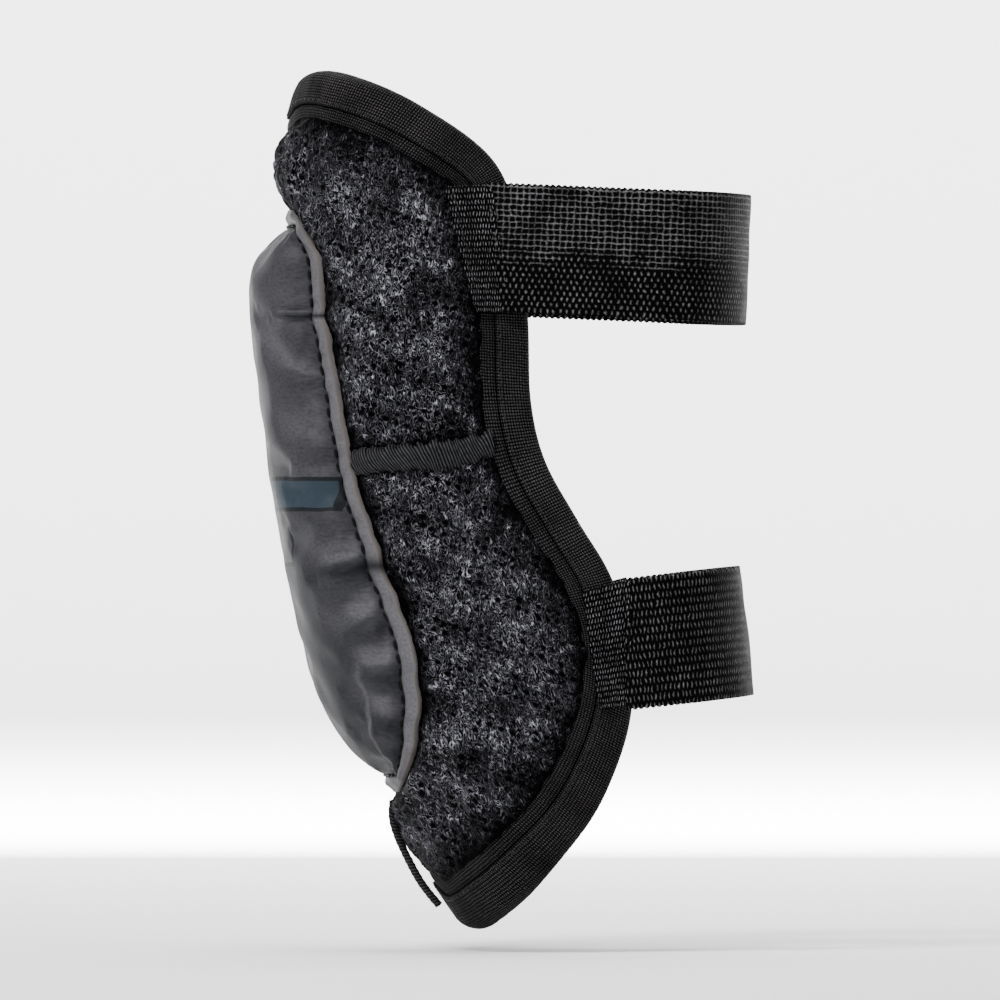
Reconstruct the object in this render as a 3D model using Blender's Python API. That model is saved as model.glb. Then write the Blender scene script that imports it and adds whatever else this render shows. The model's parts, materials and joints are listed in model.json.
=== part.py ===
"""Slip-on elbow guard: a padded channel with a leather cap and two elastic straps.

The frame has its origin on the limb axis, +Z up the limb, -X at the leather cap, +X at the
straps and the two wings at -Y and +Y. Units are metres.

The guard is one soft sheet bent round the limb. Every sewn layer is laid out on that sheet with
two coordinates, the arc length round the limb from the centre of the cap and the height, plus an
offset outwards from the middle of the padding.
"""
import math

import bmesh
import bpy
import numpy as np

MM = 0.001

# Overall sizes
GUARD_HEIGHT = 215.7 * MM
WING_DEPTH = 88.5 * MM  # front of the body to the rearmost edge of the wings
HALF_WIDTH = 41.5 * MM  # limb axis to the middle of a wing's padding
NOSE_LENGTH = 32.0 * MM  # rounded front of the channel, seen along the limb
NOSE_POWER = 2.4  # superellipse power of the rounded front
WIDTH_TAPER = 0.04  # share by which the channel widens to the top and narrows to the bottom

# Layers
CLEARANCE = 0.3 * MM  # kept between pieces that touch
SEAT_GAP = 0.5 * MM  # kept under pieces laid on the curved mesh
EDGE_ROOM = 0.8 * MM  # between the sheet's edge and the fold of the binding
FRONT_SKIN = 4.8  # drawn middle surface to the front of the padding, in drawn millimetres
FOAM_THICKNESS = 6.0 * MM
EDGE_FOAM = 1.2 * MM  # foam pressed flat under the binding and along the flex line
SEAM_FOAM = 3.0 * MM  # foam pressed under the leather cap
MESH_THICKNESS = 1.0 * MM
LINING_THICKNESS = 0.8 * MM
LEATHER_THICKNESS = 1.0 * MM
EDGE_TAPER = 12.0 * MM  # distance over which the foam reaches its full thickness
SEAM_MARGIN = 5.0 * MM  # pressed foam that shows beside the cap

# Edge binding
BINDING_WIDTH = 9.0 * MM
BINDING_THICKNESS = 0.8 * MM
STITCH_INSET = 1.2 * MM
THREAD = 0.5 * MM
THREAD_GAP = 0.45 * MM

# Flex line across the wings
FLEX_HEIGHT = 16.3 * MM  # at the rear end of the satin bar's line
FLEX_SLOPE = 0.16  # rise towards the rear
FLEX_GAP_FRONT = 4.0 * MM
FLEX_GAP_REAR = 12.5 * MM
BAR_WIDTH = 6.8 * MM
BAR_THICKNESS = 1.2 * MM
BAR_GAP_FRONT = 2.0 * MM  # cap's flange to the bar
BAR_GAP_REAR = 0.6 * MM  # bar to the binding

# Leather cap
FLANGE = 3.0 * MM
CAP_LIFT_TOP = 10.3 * MM
CAP_LIFT_BOTTOM = 7.6 * MM
CAP_ROUND = 3.5 * MM  # how quickly the cap swells from its flange
CORE_GAP = 4.0 * MM  # between the two cores, where the cap folds
CORE_SETBACK = 2  # rows and columns of the cap's grid left free of the cores
SWELL_ROWS = (2.0 * MM, 5.0 * MM, 10.0 * MM)  # rows past the flange, where the cap swells
SWELL_COLUMNS = (2.0 * MM, 5.0 * MM, 9.0 * MM)
NARROW_SHARES = (0.3, 0.24)  # least reach of the first and last swell column in a narrow row

# Elastic straps
STRAP_WIDTH = 32.0 * MM
DRAWN_STRAP_WIDTH = 32.0 * MM  # width that the tab edges and creases below are drawn for
STRAP_THICKNESS = 1.4 * MM
STRAP_REACH = 50.0 * MM  # limb axis to the inside of the loop
LOOP_LENGTH = 26.0 * MM  # rounded end of the loop, seen along the limb
LOOP_POWER = 2.6
BIGHT_LENGTH = 18.0 * MM
TACK_WIDTH = 1.0 * MM
TACK_INSET = 1.6 * MM
TAB_RAMP = 3.0 * MM  # length over which a tab climbs onto the binding
TAB_LEVEL = 3.0 * MM  # level part of the tab before the binding
LOOP_REST = 6.0 * MM  # distance in from the outline at which the loop's run clears the binding

# Cord
CORD_DIAMETER = 2.0 * MM
CORD_ROUTE = [
    (-38.2, 0.0, -75.6),
    (-38.4, 0.0, -80.0),
    (-37.2, 0.0, -84.6),
    (-35.2, 0.0, -89.0),
    (-33.2, 0.0, -93.0),
    (-31.1, 0.0, -96.6),
    (-28.7, 0.0, -99.8),
    (-26.5, 0.0, -102.4),
]

# Side outlines as drawn, in millimetres (depth, height); they stretch to the overall sizes
REAR_EDGE = [
    (-56.0, 107.8),
    (-45.7, 105.5),
    (-30.2, 98.2),
    (-12.5, 84.5),
    (-6.3, 66.0),
    (-4.2, 45.0),
    (-3.5, 25.0),
    (0.0, 10.0),
    (8.2, -5.0),
    (16.7, -19.5),
    (21.9, -37.0),
    (21.2, -56.0),
    (14.5, -75.0),
    (4.0, -90.0),
    (-7.5, -102.0),
    (-16.2, -107.9),
]
FRONT_LINE = [
    (-59.2, 108.0),
    (-60.2, 97.0),
    (-61.5, 85.0),
    (-60.8, 73.0),
    (-58.9, 50.0),
    (-55.7, 20.0),
    (-51.7, -10.0),
    (-45.7, -40.0),
    (-37.7, -65.0),
    (-29.2, -85.0),
    (-21.7, -100.0),
    (-18.4, -108.0),
]
FLANGE_EDGE = [
    (-62.4, 73.0),
    (-56.4, 60.0),
    (-54.9, 45.7),
    (-52.0, 31.0),
    (-49.2, 15.0),
    (-45.7, 0.0),
    (-38.7, -20.0),
    (-33.2, -35.0),
    (-31.0, -48.6),
    (-32.2, -62.0),
    (-35.4, -73.5),
]
TOP_DIP = 3.6 * MM  # how far the edge sinks at the centre of the front
BOTTOM_DIP = 3.4 * MM

# Strap places: centre height at the limb axis, slope in degrees, tab edge and crease
STRAPS = {
    "upper": {
        "height": 62.6,
        "slope": -2.4,
        "tab_edge": [(-25.0, 78.3), (-17.4, 47.0)],
        "crease": [(-13.2, 78.6), (-9.0, 47.2)],
    },
    "lower": {
        "height": -38.6,
        "slope": 6.5,
        "tab_edge": [(9.2, -22.6), (13.6, -52.0)],
        "crease": [(21.0, -20.6), (21.9, -50.6)],
    },
}

# Grid counts
SPAN_SAMPLES = 12  # samples between two drawn points
OUTLINE_SAMPLES = 240
HALF_COLUMNS = 14
HALF_ROWS = 13
EDGE_SAMPLES = 64
CAP_BAND_ROWS = 7
CAP_INNER_COLUMNS = 6
CORNER_SHARE = 0.6  # share of the rounded front that the grid's top and bottom edges take

MATERIALS = {
    "knit_mesh": ((0.016, 0.016, 0.018), 0.85),
    "lining_cloth": ((0.012, 0.012, 0.013), 0.9),
    "foam": ((0.05, 0.05, 0.055), 0.95),
    "cap_foam": ((0.035, 0.035, 0.04), 0.95),
    "leather": ((0.042, 0.042, 0.05), 0.42),
    "binding_tape": ((0.013, 0.013, 0.014), 0.8),
    "elastic": ((0.014, 0.014, 0.016), 0.7),
    "satin_thread": ((0.02, 0.02, 0.024), 0.5),
    "thread": ((0.008, 0.008, 0.009), 0.7),
    "cord_braid": ((0.014, 0.014, 0.015), 0.7),
}


def smooth_path(points, per_span=SPAN_SAMPLES):
    """Curve through the points: each span is a Catmull-Rom cubic of its four neighbours."""
    points = np.array(points, dtype=float)
    padded = np.vstack([2 * points[0] - points[1], points, 2 * points[-1] - points[-2]])
    t = np.linspace(0.0, 1.0, per_span, endpoint=False)[:, None]
    spans = []
    for a, b, c, d in zip(padded[:-3], padded[1:-2], padded[2:-1], padded[3:]):
        cubic = 2 * a - 5 * b + 4 * c - d
        spans.append(0.5 * (2 * b + (c - a) * t + cubic * t**2 + (3 * b - a - 3 * c + d) * t**3))
    return np.vstack(spans + [points[-1:]])


def lengths_along(points):
    """Distance along a polyline at each of its points."""
    steps = np.linalg.norm(np.diff(points, axis=0), axis=1)
    return np.concatenate([[0.0], np.cumsum(steps)])


def resample(points, count):
    """The polyline's points at equal distances along it."""
    along = lengths_along(points)
    wanted = np.linspace(0.0, along[-1], count)
    return np.column_stack([np.interp(wanted, along, axis) for axis in points.T])


DRAWN_HEIGHT = REAR_EDGE[0][1] - REAR_EDGE[-1][1]
DRAWN_DEPTH = max(x for x, _ in REAR_EDGE) - min(x for x, _ in FRONT_LINE) + FRONT_SKIN
HEIGHT_SCALE = GUARD_HEIGHT / DRAWN_HEIGHT
DEPTH_SCALE = WING_DEPTH / DRAWN_DEPTH


def drawn(points):
    """Drawn outline points (depth, height) as an array in the guard's own size."""
    return np.array(points) * (DEPTH_SCALE, HEIGHT_SCALE)


FRONT_PATH = smooth_path(drawn(FRONT_LINE))[::-1]


def front_line(height):
    """Depth of the middle of the padding at the centre of the front."""
    return np.interp(height, FRONT_PATH[:, 1], FRONT_PATH[:, 0])


def width_share(height):
    """Channel width at a height as a share of the width at the limb axis."""
    return 1.0 + WIDTH_TAPER * height / (GUARD_HEIGHT / 2)


def plan_curve():
    """Half of the channel seen along the limb: a superellipse front, then a straight wing."""
    angle = np.linspace(0.0, math.pi / 2, 240)
    nose_x = NOSE_LENGTH * (1.0 - np.cos(angle) ** (2.0 / NOSE_POWER))
    nose_y = HALF_WIDTH * np.sin(angle) ** (2.0 / NOSE_POWER)
    wing_x = NOSE_LENGTH + np.linspace(0.0, 1.6 * WING_DEPTH, 80)[1:]
    wing_y = np.full_like(wing_x, HALF_WIDTH)
    return np.column_stack([np.append(nose_x, wing_x), np.append(nose_y, wing_y)])


PLAN = plan_curve()
PLAN_ARC = lengths_along(PLAN)
PLAN_STEP = np.gradient(PLAN, PLAN_ARC, axis=0)
PLAN_STEP /= np.linalg.norm(PLAN_STEP, axis=1)[:, None]


def place(arc, height, offset):
    """World points of the sheet at an arc length, a height and an offset outwards."""
    side = np.sign(arc)
    run = np.abs(arc)
    plan_x = np.interp(run, PLAN_ARC, PLAN[:, 0])
    plan_y = np.interp(run, PLAN_ARC, PLAN[:, 1])
    out_x = -np.interp(run, PLAN_ARC, PLAN_STEP[:, 1])
    out_y = np.interp(run, PLAN_ARC, PLAN_STEP[:, 0])
    x = front_line(height) + plan_x + offset * out_x
    y = side * (plan_y * width_share(height) + offset * out_y)
    return np.stack([x, y, height + 0.0 * x], axis=-1)


def arc_at(depth, height, offset=0.0):
    """Arc length at which the sheet, offset outwards, has a given depth."""
    reach = PLAN[:, 0] - offset * PLAN_STEP[:, 1]
    return np.interp(depth - front_line(height), reach, PLAN_ARC)


def outline_half():
    """Edge of the sheet from the centre of the bottom to the centre of the top."""
    rear = drawn(REAR_EDGE)[::-1]
    flat = np.column_stack([arc_at(rear[:, 0], rear[:, 1]), rear[:, 1]])
    low = (0.0, flat[0, 1] + BOTTOM_DIP)
    high = (0.0, flat[-1, 1] - TOP_DIP)
    mirror = np.array([-1.0, 1.0])
    points = np.vstack([flat[0] * mirror, low, flat, high, flat[-1] * mirror])
    path = smooth_path(points)
    return resample(path[SPAN_SAMPLES : len(path) - SPAN_SAMPLES], OUTLINE_SAMPLES)


OUTLINE = outline_half()


def inward(points):
    """Unit normals into the sheet along an outline that runs from bottom to top."""
    step = np.gradient(points, axis=0)
    step[0] = (1.0, 0.0)
    step[-1] = (-1.0, 0.0)
    step /= np.linalg.norm(step, axis=1)[:, None]
    return np.column_stack([-step[:, 1], step[:, 0]])


OUTLINE_IN = inward(OUTLINE)


def outline_inset(distance):
    """The outline moved into the sheet by a distance."""
    moved = OUTLINE + distance * OUTLINE_IN
    moved[[0, -1], 0] = 0.0
    return moved


def edge_distance(arc, height):
    """Distance on the flat sheet from a point to the outline."""
    flat = np.stack([np.abs(arc), height + 0.0 * arc], axis=-1)
    gap = flat[..., None, :] - OUTLINE
    return np.sqrt((gap**2).sum(axis=-1)).min(axis=-1)


REAR_AT_FLEX = arc_at(-2.0 * MM * DEPTH_SCALE, FLEX_HEIGHT)


def flex_height(arc):
    """Height of the flex line at an arc length."""
    depth = np.interp(np.abs(arc), PLAN_ARC, PLAN[:, 0])
    rear = np.interp(REAR_AT_FLEX, PLAN_ARC, PLAN[:, 0])
    return FLEX_HEIGHT + FLEX_SLOPE * (depth - rear)


def flex_gap(arc):
    """Half of the foam's gap along the flex line, opening towards the rear."""
    share = np.abs(arc) / REAR_AT_FLEX
    return 0.5 * (FLEX_GAP_FRONT + (FLEX_GAP_REAR - FLEX_GAP_FRONT) * share)


CAP_OFFSET = SEAM_FOAM / 2 + MESH_THICKNESS + CLEARANCE + SEAT_GAP
CAP_PATH = smooth_path(drawn(FLANGE_EDGE))[::-1]
CAP_BOTTOM = CAP_PATH[0, 1]
CAP_TOP = CAP_PATH[-1, 1]


def cap_half(height):
    """Arc length from the centre of the cap to its flange's edge."""
    held = np.clip(height, CAP_BOTTOM, CAP_TOP)
    depth = np.interp(held, CAP_PATH[:, 1], CAP_PATH[:, 0])
    return arc_at(depth, held, CAP_OFFSET)


def foam_at(arc, height):
    """Foam thickness on the flat sheet: pressed at the edge, the flex line and the cap's seam."""
    rise = (FOAM_THICKNESS - EDGE_FOAM) / EDGE_TAPER
    at_edge = EDGE_FOAM + rise * edge_distance(arc, height)
    at_flex = EDGE_FOAM + rise * np.abs(height - flex_height(arc))
    beside = np.maximum(np.abs(arc) - cap_half(height), 0.0)
    beyond = np.maximum(np.maximum(height - CAP_TOP, CAP_BOTTOM - height), 0.0)
    outside = np.maximum(np.hypot(beside, beyond) - SEAM_MARGIN, 0.0)
    at_seam = SEAM_FOAM + rise * outside
    return np.minimum.reduce([at_edge, at_flex, at_seam, FOAM_THICKNESS + 0.0 * at_edge])


def skin_offset(foam):
    """Offset of the outer mesh's outside face over a thickness of foam."""
    return foam / 2 + CLEARANCE + MESH_THICKNESS


def coons(bottom, top, centre, side):
    """Patch between four curves: centre and side rise from the bottom curve to the top curve."""
    u = np.linspace(0.0, 1.0, len(bottom))[None, :, None]
    v = np.linspace(0.0, 1.0, len(centre))[:, None, None]
    across = (1 - v) * bottom[None] + v * top[None]
    along = (1 - u) * centre[:, None] + u * side[:, None]
    low = (1 - u) * bottom[0] + u * bottom[-1]
    high = (1 - u) * top[0] + u * top[-1]
    return across + along - (1 - v) * low - v * high


def both_sides(half):
    """A half grid of flat points with its mirror image, from -Y to +Y."""
    return np.concatenate([half[:, :0:-1] * (-1.0, 1.0), half], axis=1)


def sheet_grids(inset):
    """Flat grids of the sheet below and above the flex line's gap, an inset in from the outline."""
    edge = outline_inset(inset)
    corner_arc = np.interp(CORNER_SHARE * NOSE_LENGTH, PLAN[:, 0], PLAN_ARC)
    beyond = np.flatnonzero(OUTLINE[:, 0] > corner_arc)
    low, high = int(beyond[0]), int(beyond[-1])
    side = edge[low : high + 1]
    height_over = side[:, 1] - flex_height(side[:, 0])
    gap = flex_gap(side[:, 0])
    order = np.arange(len(side), dtype=float)
    grids = {}
    for name, sign in (("lower", -1.0), ("upper", 1.0)):
        start = np.interp(0.0, height_over - sign * gap, order)
        corner = np.array([np.interp(start, order, axis) for axis in side.T])
        arcs = np.linspace(0.0, corner[0], HALF_COLUMNS + 1)
        share = arcs / corner[0]
        line = flex_height(arcs) + sign * flex_gap(arcs)
        line += share * (corner[1] - line[-1])
        flex_row = np.column_stack([arcs, line])
        if sign > 0:
            rest = side[math.ceil(start) :]
            end_row = resample(edge[high:][::-1], HALF_COLUMNS + 1)
        else:
            rest = side[: math.floor(start) + 1][::-1]
            end_row = resample(edge[: low + 1], HALF_COLUMNS + 1)
        side_curve = resample(np.vstack([corner, rest]), HALF_ROWS + 1)
        centre = np.column_stack(
            [np.zeros(HALF_ROWS + 1), np.linspace(line[0], end_row[0, 1], HALF_ROWS + 1)]
        )
        patch = coons(flex_row, end_row, centre, side_curve)
        grids[name] = both_sides(patch if sign > 0 else patch[::-1])
    return grids


def flex_row_between(grids):
    """Flat row on the flex line between the two grids."""
    return 0.5 * (grids["lower"][-1] + grids["upper"][0])


def slab(top, bottom):
    """Vertices and faces of the closed solid between two grids of points."""
    rows, columns = top.shape[:2]
    points = np.vstack([top.reshape(-1, 3), bottom.reshape(-1, 3)])
    number = np.arange(rows * columns).reshape(rows, columns)
    under = number + rows * columns
    faces = []

    def add(a, b, c, d):
        faces.extend(np.stack([a, b, c, d], axis=-1).reshape(-1, 4).tolist())

    add(number[:-1, :-1], number[:-1, 1:], number[1:, 1:], number[1:, :-1])
    add(under[:-1, :-1], under[1:, :-1], under[1:, 1:], under[:-1, 1:])
    add(number[0, 1:], number[0, :-1], under[0, :-1], under[0, 1:])
    add(number[-1, :-1], number[-1, 1:], under[-1, 1:], under[-1, :-1])
    add(number[:-1, 0], number[1:, 0], under[1:, 0], under[:-1, 0])
    add(number[1:, -1], number[:-1, -1], under[:-1, -1], under[1:, -1])
    return points, faces


def ring(sections):
    """Vertices and faces of a closed loop of closed sections."""
    count, size = sections.shape[:2]
    number = np.arange(count * size).reshape(count, size)
    ahead = np.roll(number, -1, axis=0)
    faces = np.stack(
        [number, np.roll(number, -1, axis=1), np.roll(ahead, -1, axis=1), ahead], axis=-1
    )
    return sections.reshape(-1, 3), faces.reshape(-1, 4).tolist()


def add_piece(name, shape, material):
    """One named object from vertices and faces, its faces turned outwards."""
    points, faces = shape
    mesh = bpy.data.meshes.new(name)
    mesh.from_pydata(points.tolist(), [], faces)
    work = bmesh.new()
    work.from_mesh(mesh)
    bmesh.ops.recalc_face_normals(work, faces=work.faces)
    work.to_mesh(mesh)
    work.free()
    mesh.materials.append(MATERIAL_CACHE[material])
    piece = bpy.data.objects.new(name, mesh)
    COLLECTION.objects.link(piece)
    return piece


def sheet_slab(flat, top_offset, bottom_offset):
    """Solid on the sheet between two offsets given at each flat point."""
    arc = flat[..., 0]
    height = flat[..., 1]
    return slab(place(arc, height, top_offset), place(arc, height, bottom_offset))


def build_padding():
    """Foam pads, the outer mesh and the lining, on one shared grid."""
    grids = sheet_grids(BINDING_THICKNESS + EDGE_ROOM)
    for name, flat in grids.items():
        foam = foam_at(flat[..., 0], flat[..., 1])
        add_piece(f"{name}_foam_pad", sheet_slab(flat, foam / 2, -foam / 2), "foam")
    whole = np.concatenate([grids["lower"], flex_row_between(grids)[None], grids["upper"]])
    foam = foam_at(whole[..., 0], whole[..., 1])
    near = foam / 2 + CLEARANCE
    add_piece("outer_mesh", sheet_slab(whole, near + MESH_THICKNESS, near), "knit_mesh")
    lining = sheet_slab(whole, -near, -near - LINING_THICKNESS)
    add_piece("lining", lining, "lining_cloth")


def edge_foam(distance):
    """Foam thickness at a distance in from the outline."""
    rise = (FOAM_THICKNESS - EDGE_FOAM) / EDGE_TAPER
    return np.minimum(EDGE_FOAM + rise * distance, FOAM_THICKNESS)


def binding_top(distance):
    """Offset of the binding's outside face at a distance in from the outline."""
    return skin_offset(edge_foam(distance)) + SEAT_GAP + BINDING_THICKNESS


def full_outline():
    """Closed outline with its inward normals, evenly spaced, both sides."""
    along = lengths_along(OUTLINE)
    wanted = np.linspace(0.0, along[-1], EDGE_SAMPLES + 1)
    both = np.column_stack([OUTLINE, OUTLINE_IN])
    half = np.column_stack([np.interp(wanted, along, axis) for axis in both.T])
    mirrored = half[-2:0:-1] * (-1.0, 1.0, -1.0, 1.0)
    loop = np.vstack([half, mirrored])
    loop[[0, EDGE_SAMPLES], 0] = 0.0
    loop[[0, EDGE_SAMPLES], 2] = 0.0
    return loop


def edge_ring(profile):
    """Loop round the outline of a profile of (distance in, offset) points."""
    loop = full_outline()
    sections = []
    for distance, offset in profile:
        flat = loop[:, :2] + distance * loop[:, 2:]
        sections.append(place(flat[:, 0], flat[:, 1], offset))
    return ring(np.stack(sections, axis=1))


def build_binding():
    """Binding tape folded over the edge, and its row of stitching."""
    wall = BINDING_THICKNESS
    leg_top = binding_top(BINDING_WIDTH)
    nose_top = binding_top(wall)
    lower = LINING_THICKNESS - MESH_THICKNESS
    profile = [
        (BINDING_WIDTH, leg_top),
        (wall, nose_top),
        (0.0, nose_top - wall),
        (0.0, -nose_top + wall - lower),
        (wall, -nose_top - lower),
        (BINDING_WIDTH, -leg_top - lower),
        (BINDING_WIDTH, -leg_top - lower + wall),
        (wall, -nose_top - lower + wall),
        (wall, nose_top - wall),
        (BINDING_WIDTH, leg_top - wall),
    ]
    add_piece("edge_binding", edge_ring(profile), "binding_tape")
    outer = BINDING_WIDTH - STITCH_INSET
    inner = outer - THREAD
    thread = [
        (outer, binding_top(outer) + THREAD_GAP),
        (outer, binding_top(outer) + THREAD_GAP + THREAD),
        (inner, binding_top(inner) + THREAD_GAP + THREAD),
        (inner, binding_top(inner) + THREAD_GAP),
    ]
    add_piece("binding_stitching", edge_ring(thread), "thread")


def cap_rows():
    """Heights of the cap's rows, close together where it swells from the flange."""
    steps = np.array([0.0, FLANGE, *(FLANGE + past for past in SWELL_ROWS)])
    middle = float(flex_height(0.0))
    below = np.linspace(CAP_BOTTOM + steps[-1], middle - CORE_GAP / 2, CAP_BAND_ROWS)
    above = np.linspace(middle + CORE_GAP / 2, CAP_TOP - steps[-1], CAP_BAND_ROWS)
    return np.concatenate([CAP_BOTTOM + steps[:-1], below, above, CAP_TOP - steps[-2::-1]])


def cap_grid():
    """Flat points of the cap and their distance in from its edge."""
    steps = np.array([0.0, FLANGE, *(FLANGE + past for past in SWELL_COLUMNS)])
    least = np.linspace(*NARROW_SHARES, len(steps))
    heights = cap_rows()
    rows = []
    for height in heights:
        reach = float(cap_half(height))
        inner = np.maximum(reach - steps, reach * least)
        half = np.concatenate([np.linspace(0.0, inner[-1], CAP_INNER_COLUMNS), inner[-2::-1]])
        rows.append(np.concatenate([-half[:0:-1], half]))
    arc = np.array(rows)
    height = np.repeat(heights[:, None], arc.shape[1], axis=1)
    ends = np.minimum(height - CAP_BOTTOM, CAP_TOP - height)
    inside = np.minimum(cap_half(height) - np.abs(arc), ends)
    return np.stack([arc, height], axis=-1), inside


def cap_offset(height, inside):
    """Offset of the leather's outside face: flat on the flange, then swelling over the core."""
    share = (height - CAP_BOTTOM) / (CAP_TOP - CAP_BOTTOM)
    lift = CAP_LIFT_BOTTOM + (CAP_LIFT_TOP - CAP_LIFT_BOTTOM) * share
    swell = 1.0 - np.exp(-np.maximum(inside - FLANGE, 0.0) / CAP_ROUND)
    return CAP_OFFSET + LEATHER_THICKNESS + lift * swell


def build_cap():
    """Leather cap, its two foam cores and the stitching along its flange."""
    flat, inside = cap_grid()
    top = cap_offset(flat[..., 1], inside)
    add_piece("cap_cover", sheet_slab(flat, top, top - LEATHER_THICKNESS), "leather")
    middle = float(flex_height(0.0))
    heights = flat[:, 0, 1]
    split = int(np.searchsorted(heights, middle))
    inner = slice(CORE_SETBACK, -CORE_SETBACK)
    bands = {"lower": slice(CORE_SETBACK, split), "upper": slice(split, -CORE_SETBACK)}
    for name, rows in bands.items():
        core = flat[rows, inner]
        core_top = top[rows, inner] - LEATHER_THICKNESS - CLEARANCE
        core_bottom = np.full_like(core_top, CAP_OFFSET)
        add_piece(f"cap_core_{name}", sheet_slab(core, core_top, core_bottom), "cap_foam")
    build_cap_stitching()


def blend_ends(first, last):
    """Points between two ends, without the ends."""
    share = np.linspace(0.0, 1.0, 10)[1:-1, None]
    return first + share * (last - first)


def build_cap_stitching():
    """Thread loop just inside the flange's edge."""
    inset = FLANGE - THREAD
    heights = np.linspace(CAP_BOTTOM + inset, CAP_TOP - inset, 24)
    right = np.column_stack([cap_half(heights) - inset, heights])
    left = right[::-1] * (-1.0, 1.0)
    top = blend_ends(right[-1], left[0])
    bottom = blend_ends(left[-1], right[0])
    loop = np.vstack([right, top, left, bottom])
    base = CAP_OFFSET + LEATHER_THICKNESS + THREAD_GAP
    centre = np.array([0.0, 0.5 * (CAP_BOTTOM + CAP_TOP)])
    toward = centre - loop
    toward /= np.linalg.norm(toward, axis=1)[:, None]
    sections = []
    for distance, offset in ((-1, 0), (-1, 1), (0, 1), (0, 0)):
        flat = loop + distance * THREAD * toward
        sections.append(place(flat[:, 0], flat[:, 1], base + offset * THREAD))
    add_piece("cap_stitching", ring(np.stack(sections, axis=1)), "thread")


def build_flex_bars():
    """Satin-stitched bar across each wing, from the cap's flange to the binding."""
    line = np.linspace(0.0, REAR_AT_FLEX, 60)
    start = float(np.interp(0.0, line - cap_half(flex_height(line)), line)) + BAR_GAP_FRONT
    inset = edge_distance(line, flex_height(line))
    beyond = line > start
    stop = float(np.interp(-BINDING_WIDTH - BAR_GAP_REAR, -inset[beyond], line[beyond]))
    arcs = np.linspace(start, stop, 10)
    across = np.linspace(-0.5, 0.5, 5) * BAR_WIDTH
    arc = np.repeat(arcs[:, None], len(across), axis=1)
    height = flex_height(arc) + across[None]
    base = skin_offset(foam_at(arc, height)) + SEAT_GAP
    crown = BAR_THICKNESS * (1.0 - 0.5 * (2 * across / BAR_WIDTH) ** 2)[None]
    for name, side in (("right", -1.0), ("left", 1.0)):
        flat = np.stack([side * arc, height], axis=-1)
        add_piece(f"flex_bar_{name}", sheet_slab(flat, base + crown, base), "satin_thread")


def blend_rows(first, last, rows, columns):
    """Grid of points between two straight edges, each given by its two ends."""
    down = np.linspace(0.0, 1.0, rows)[:, None, None]
    over = np.linspace(0.0, 1.0, columns)[None, :, None]
    left = (1 - down) * first[0] + down * first[1]
    right = (1 - down) * last[0] + down * last[1]
    return (1 - over) * left + over * right


def over_stitching(distance):
    """Offset that clears the binding and its stitching at a distance in from the outline."""
    return binding_top(distance) + THREAD_GAP + THREAD + CLEARANCE


def tab_base(arc, height):
    """Offset on which a strap's tab lies: the mesh, then up and over the binding."""
    distance = edge_distance(arc, height)
    climb_from = BINDING_WIDTH + TAB_LEVEL + TAB_RAMP
    over = np.clip((climb_from - distance) / TAB_RAMP, 0.0, 1.0)
    on_mesh = skin_offset(edge_foam(distance)) + CLEARANCE
    return on_mesh + over * (over_stitching(distance) - on_mesh)


def strap_frame(strap):
    """Centre height, unit vector to the rear and unit vector up across a strap."""
    slope = math.radians(strap["slope"])
    along = np.array([math.cos(slope), 0.0, math.sin(slope)])
    across = np.array([-math.sin(slope), 0.0, math.cos(slope)])
    return strap["height"] * HEIGHT_SCALE, along, across


def across_line(points):
    """Drawn line across a strap, stretched about its middle to the strap's width."""
    ends = drawn(points)
    middle = ends.mean(axis=0)
    return middle + (ends - middle) * (STRAP_WIDTH / DRAWN_STRAP_WIDTH)


def loop_path(height):
    """Strap loop seen along the limb, from its start to the middle of the bight."""
    half_span = HALF_WIDTH * width_share(height) + over_stitching(LOOP_REST)
    angle = np.linspace(math.pi / 2, 0.0, 60)
    bend_x = STRAP_REACH - LOOP_LENGTH + LOOP_LENGTH * np.cos(angle) ** (2.0 / LOOP_POWER)
    bend_y = half_span * np.sin(angle) ** (2.0 / LOOP_POWER)
    start = np.array([[-WING_DEPTH, half_span]])
    return np.vstack([start, np.column_stack([bend_x, bend_y])])


def strap_points(strap, along_run, side, lift):
    """World points of a strap at places along its half loop, over its whole width."""
    height, rear, up = strap_frame(strap)
    path = loop_path(height)
    distance = lengths_along(path)
    step = np.gradient(path, distance, axis=0)
    step[0] = step[1] = (1.0, 0.0)
    step[-1] = (0.0, -1.0)
    step /= np.linalg.norm(step, axis=1)[:, None]
    x, y = (np.interp(along_run, distance, axis) for axis in path.T)
    step_x, step_y = (np.interp(along_run, distance, axis) for axis in step.T)
    x = x - lift * step_y
    y = side * (y + lift * step_x)
    across = np.linspace(0.5, -0.5, along_run.shape[0])[:, None] * STRAP_WIDTH
    centre = np.array([0.0, 0.0, height])
    lateral = np.array([0.0, 1.0, 0.0])
    return centre + x[..., None] * rear + across[..., None] * up + y[..., None] * lateral


def crease_run(strap, rows):
    """Distance along the half loop at which each row of a strap leaves its tab."""
    height, rear, up = strap_frame(strap)
    crease = across_line(strap["crease"])
    across = np.linspace(0.5, -0.5, rows) * STRAP_WIDTH
    ends = [(point[0], point[1] - height) for point in crease]
    along = [x * rear[0] + z * rear[2] for x, z in ends]
    level = [x * up[0] + z * up[2] for x, z in ends]
    depth = np.interp(-across, [-level[0], -level[1]], along)
    return depth + WING_DEPTH


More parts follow.
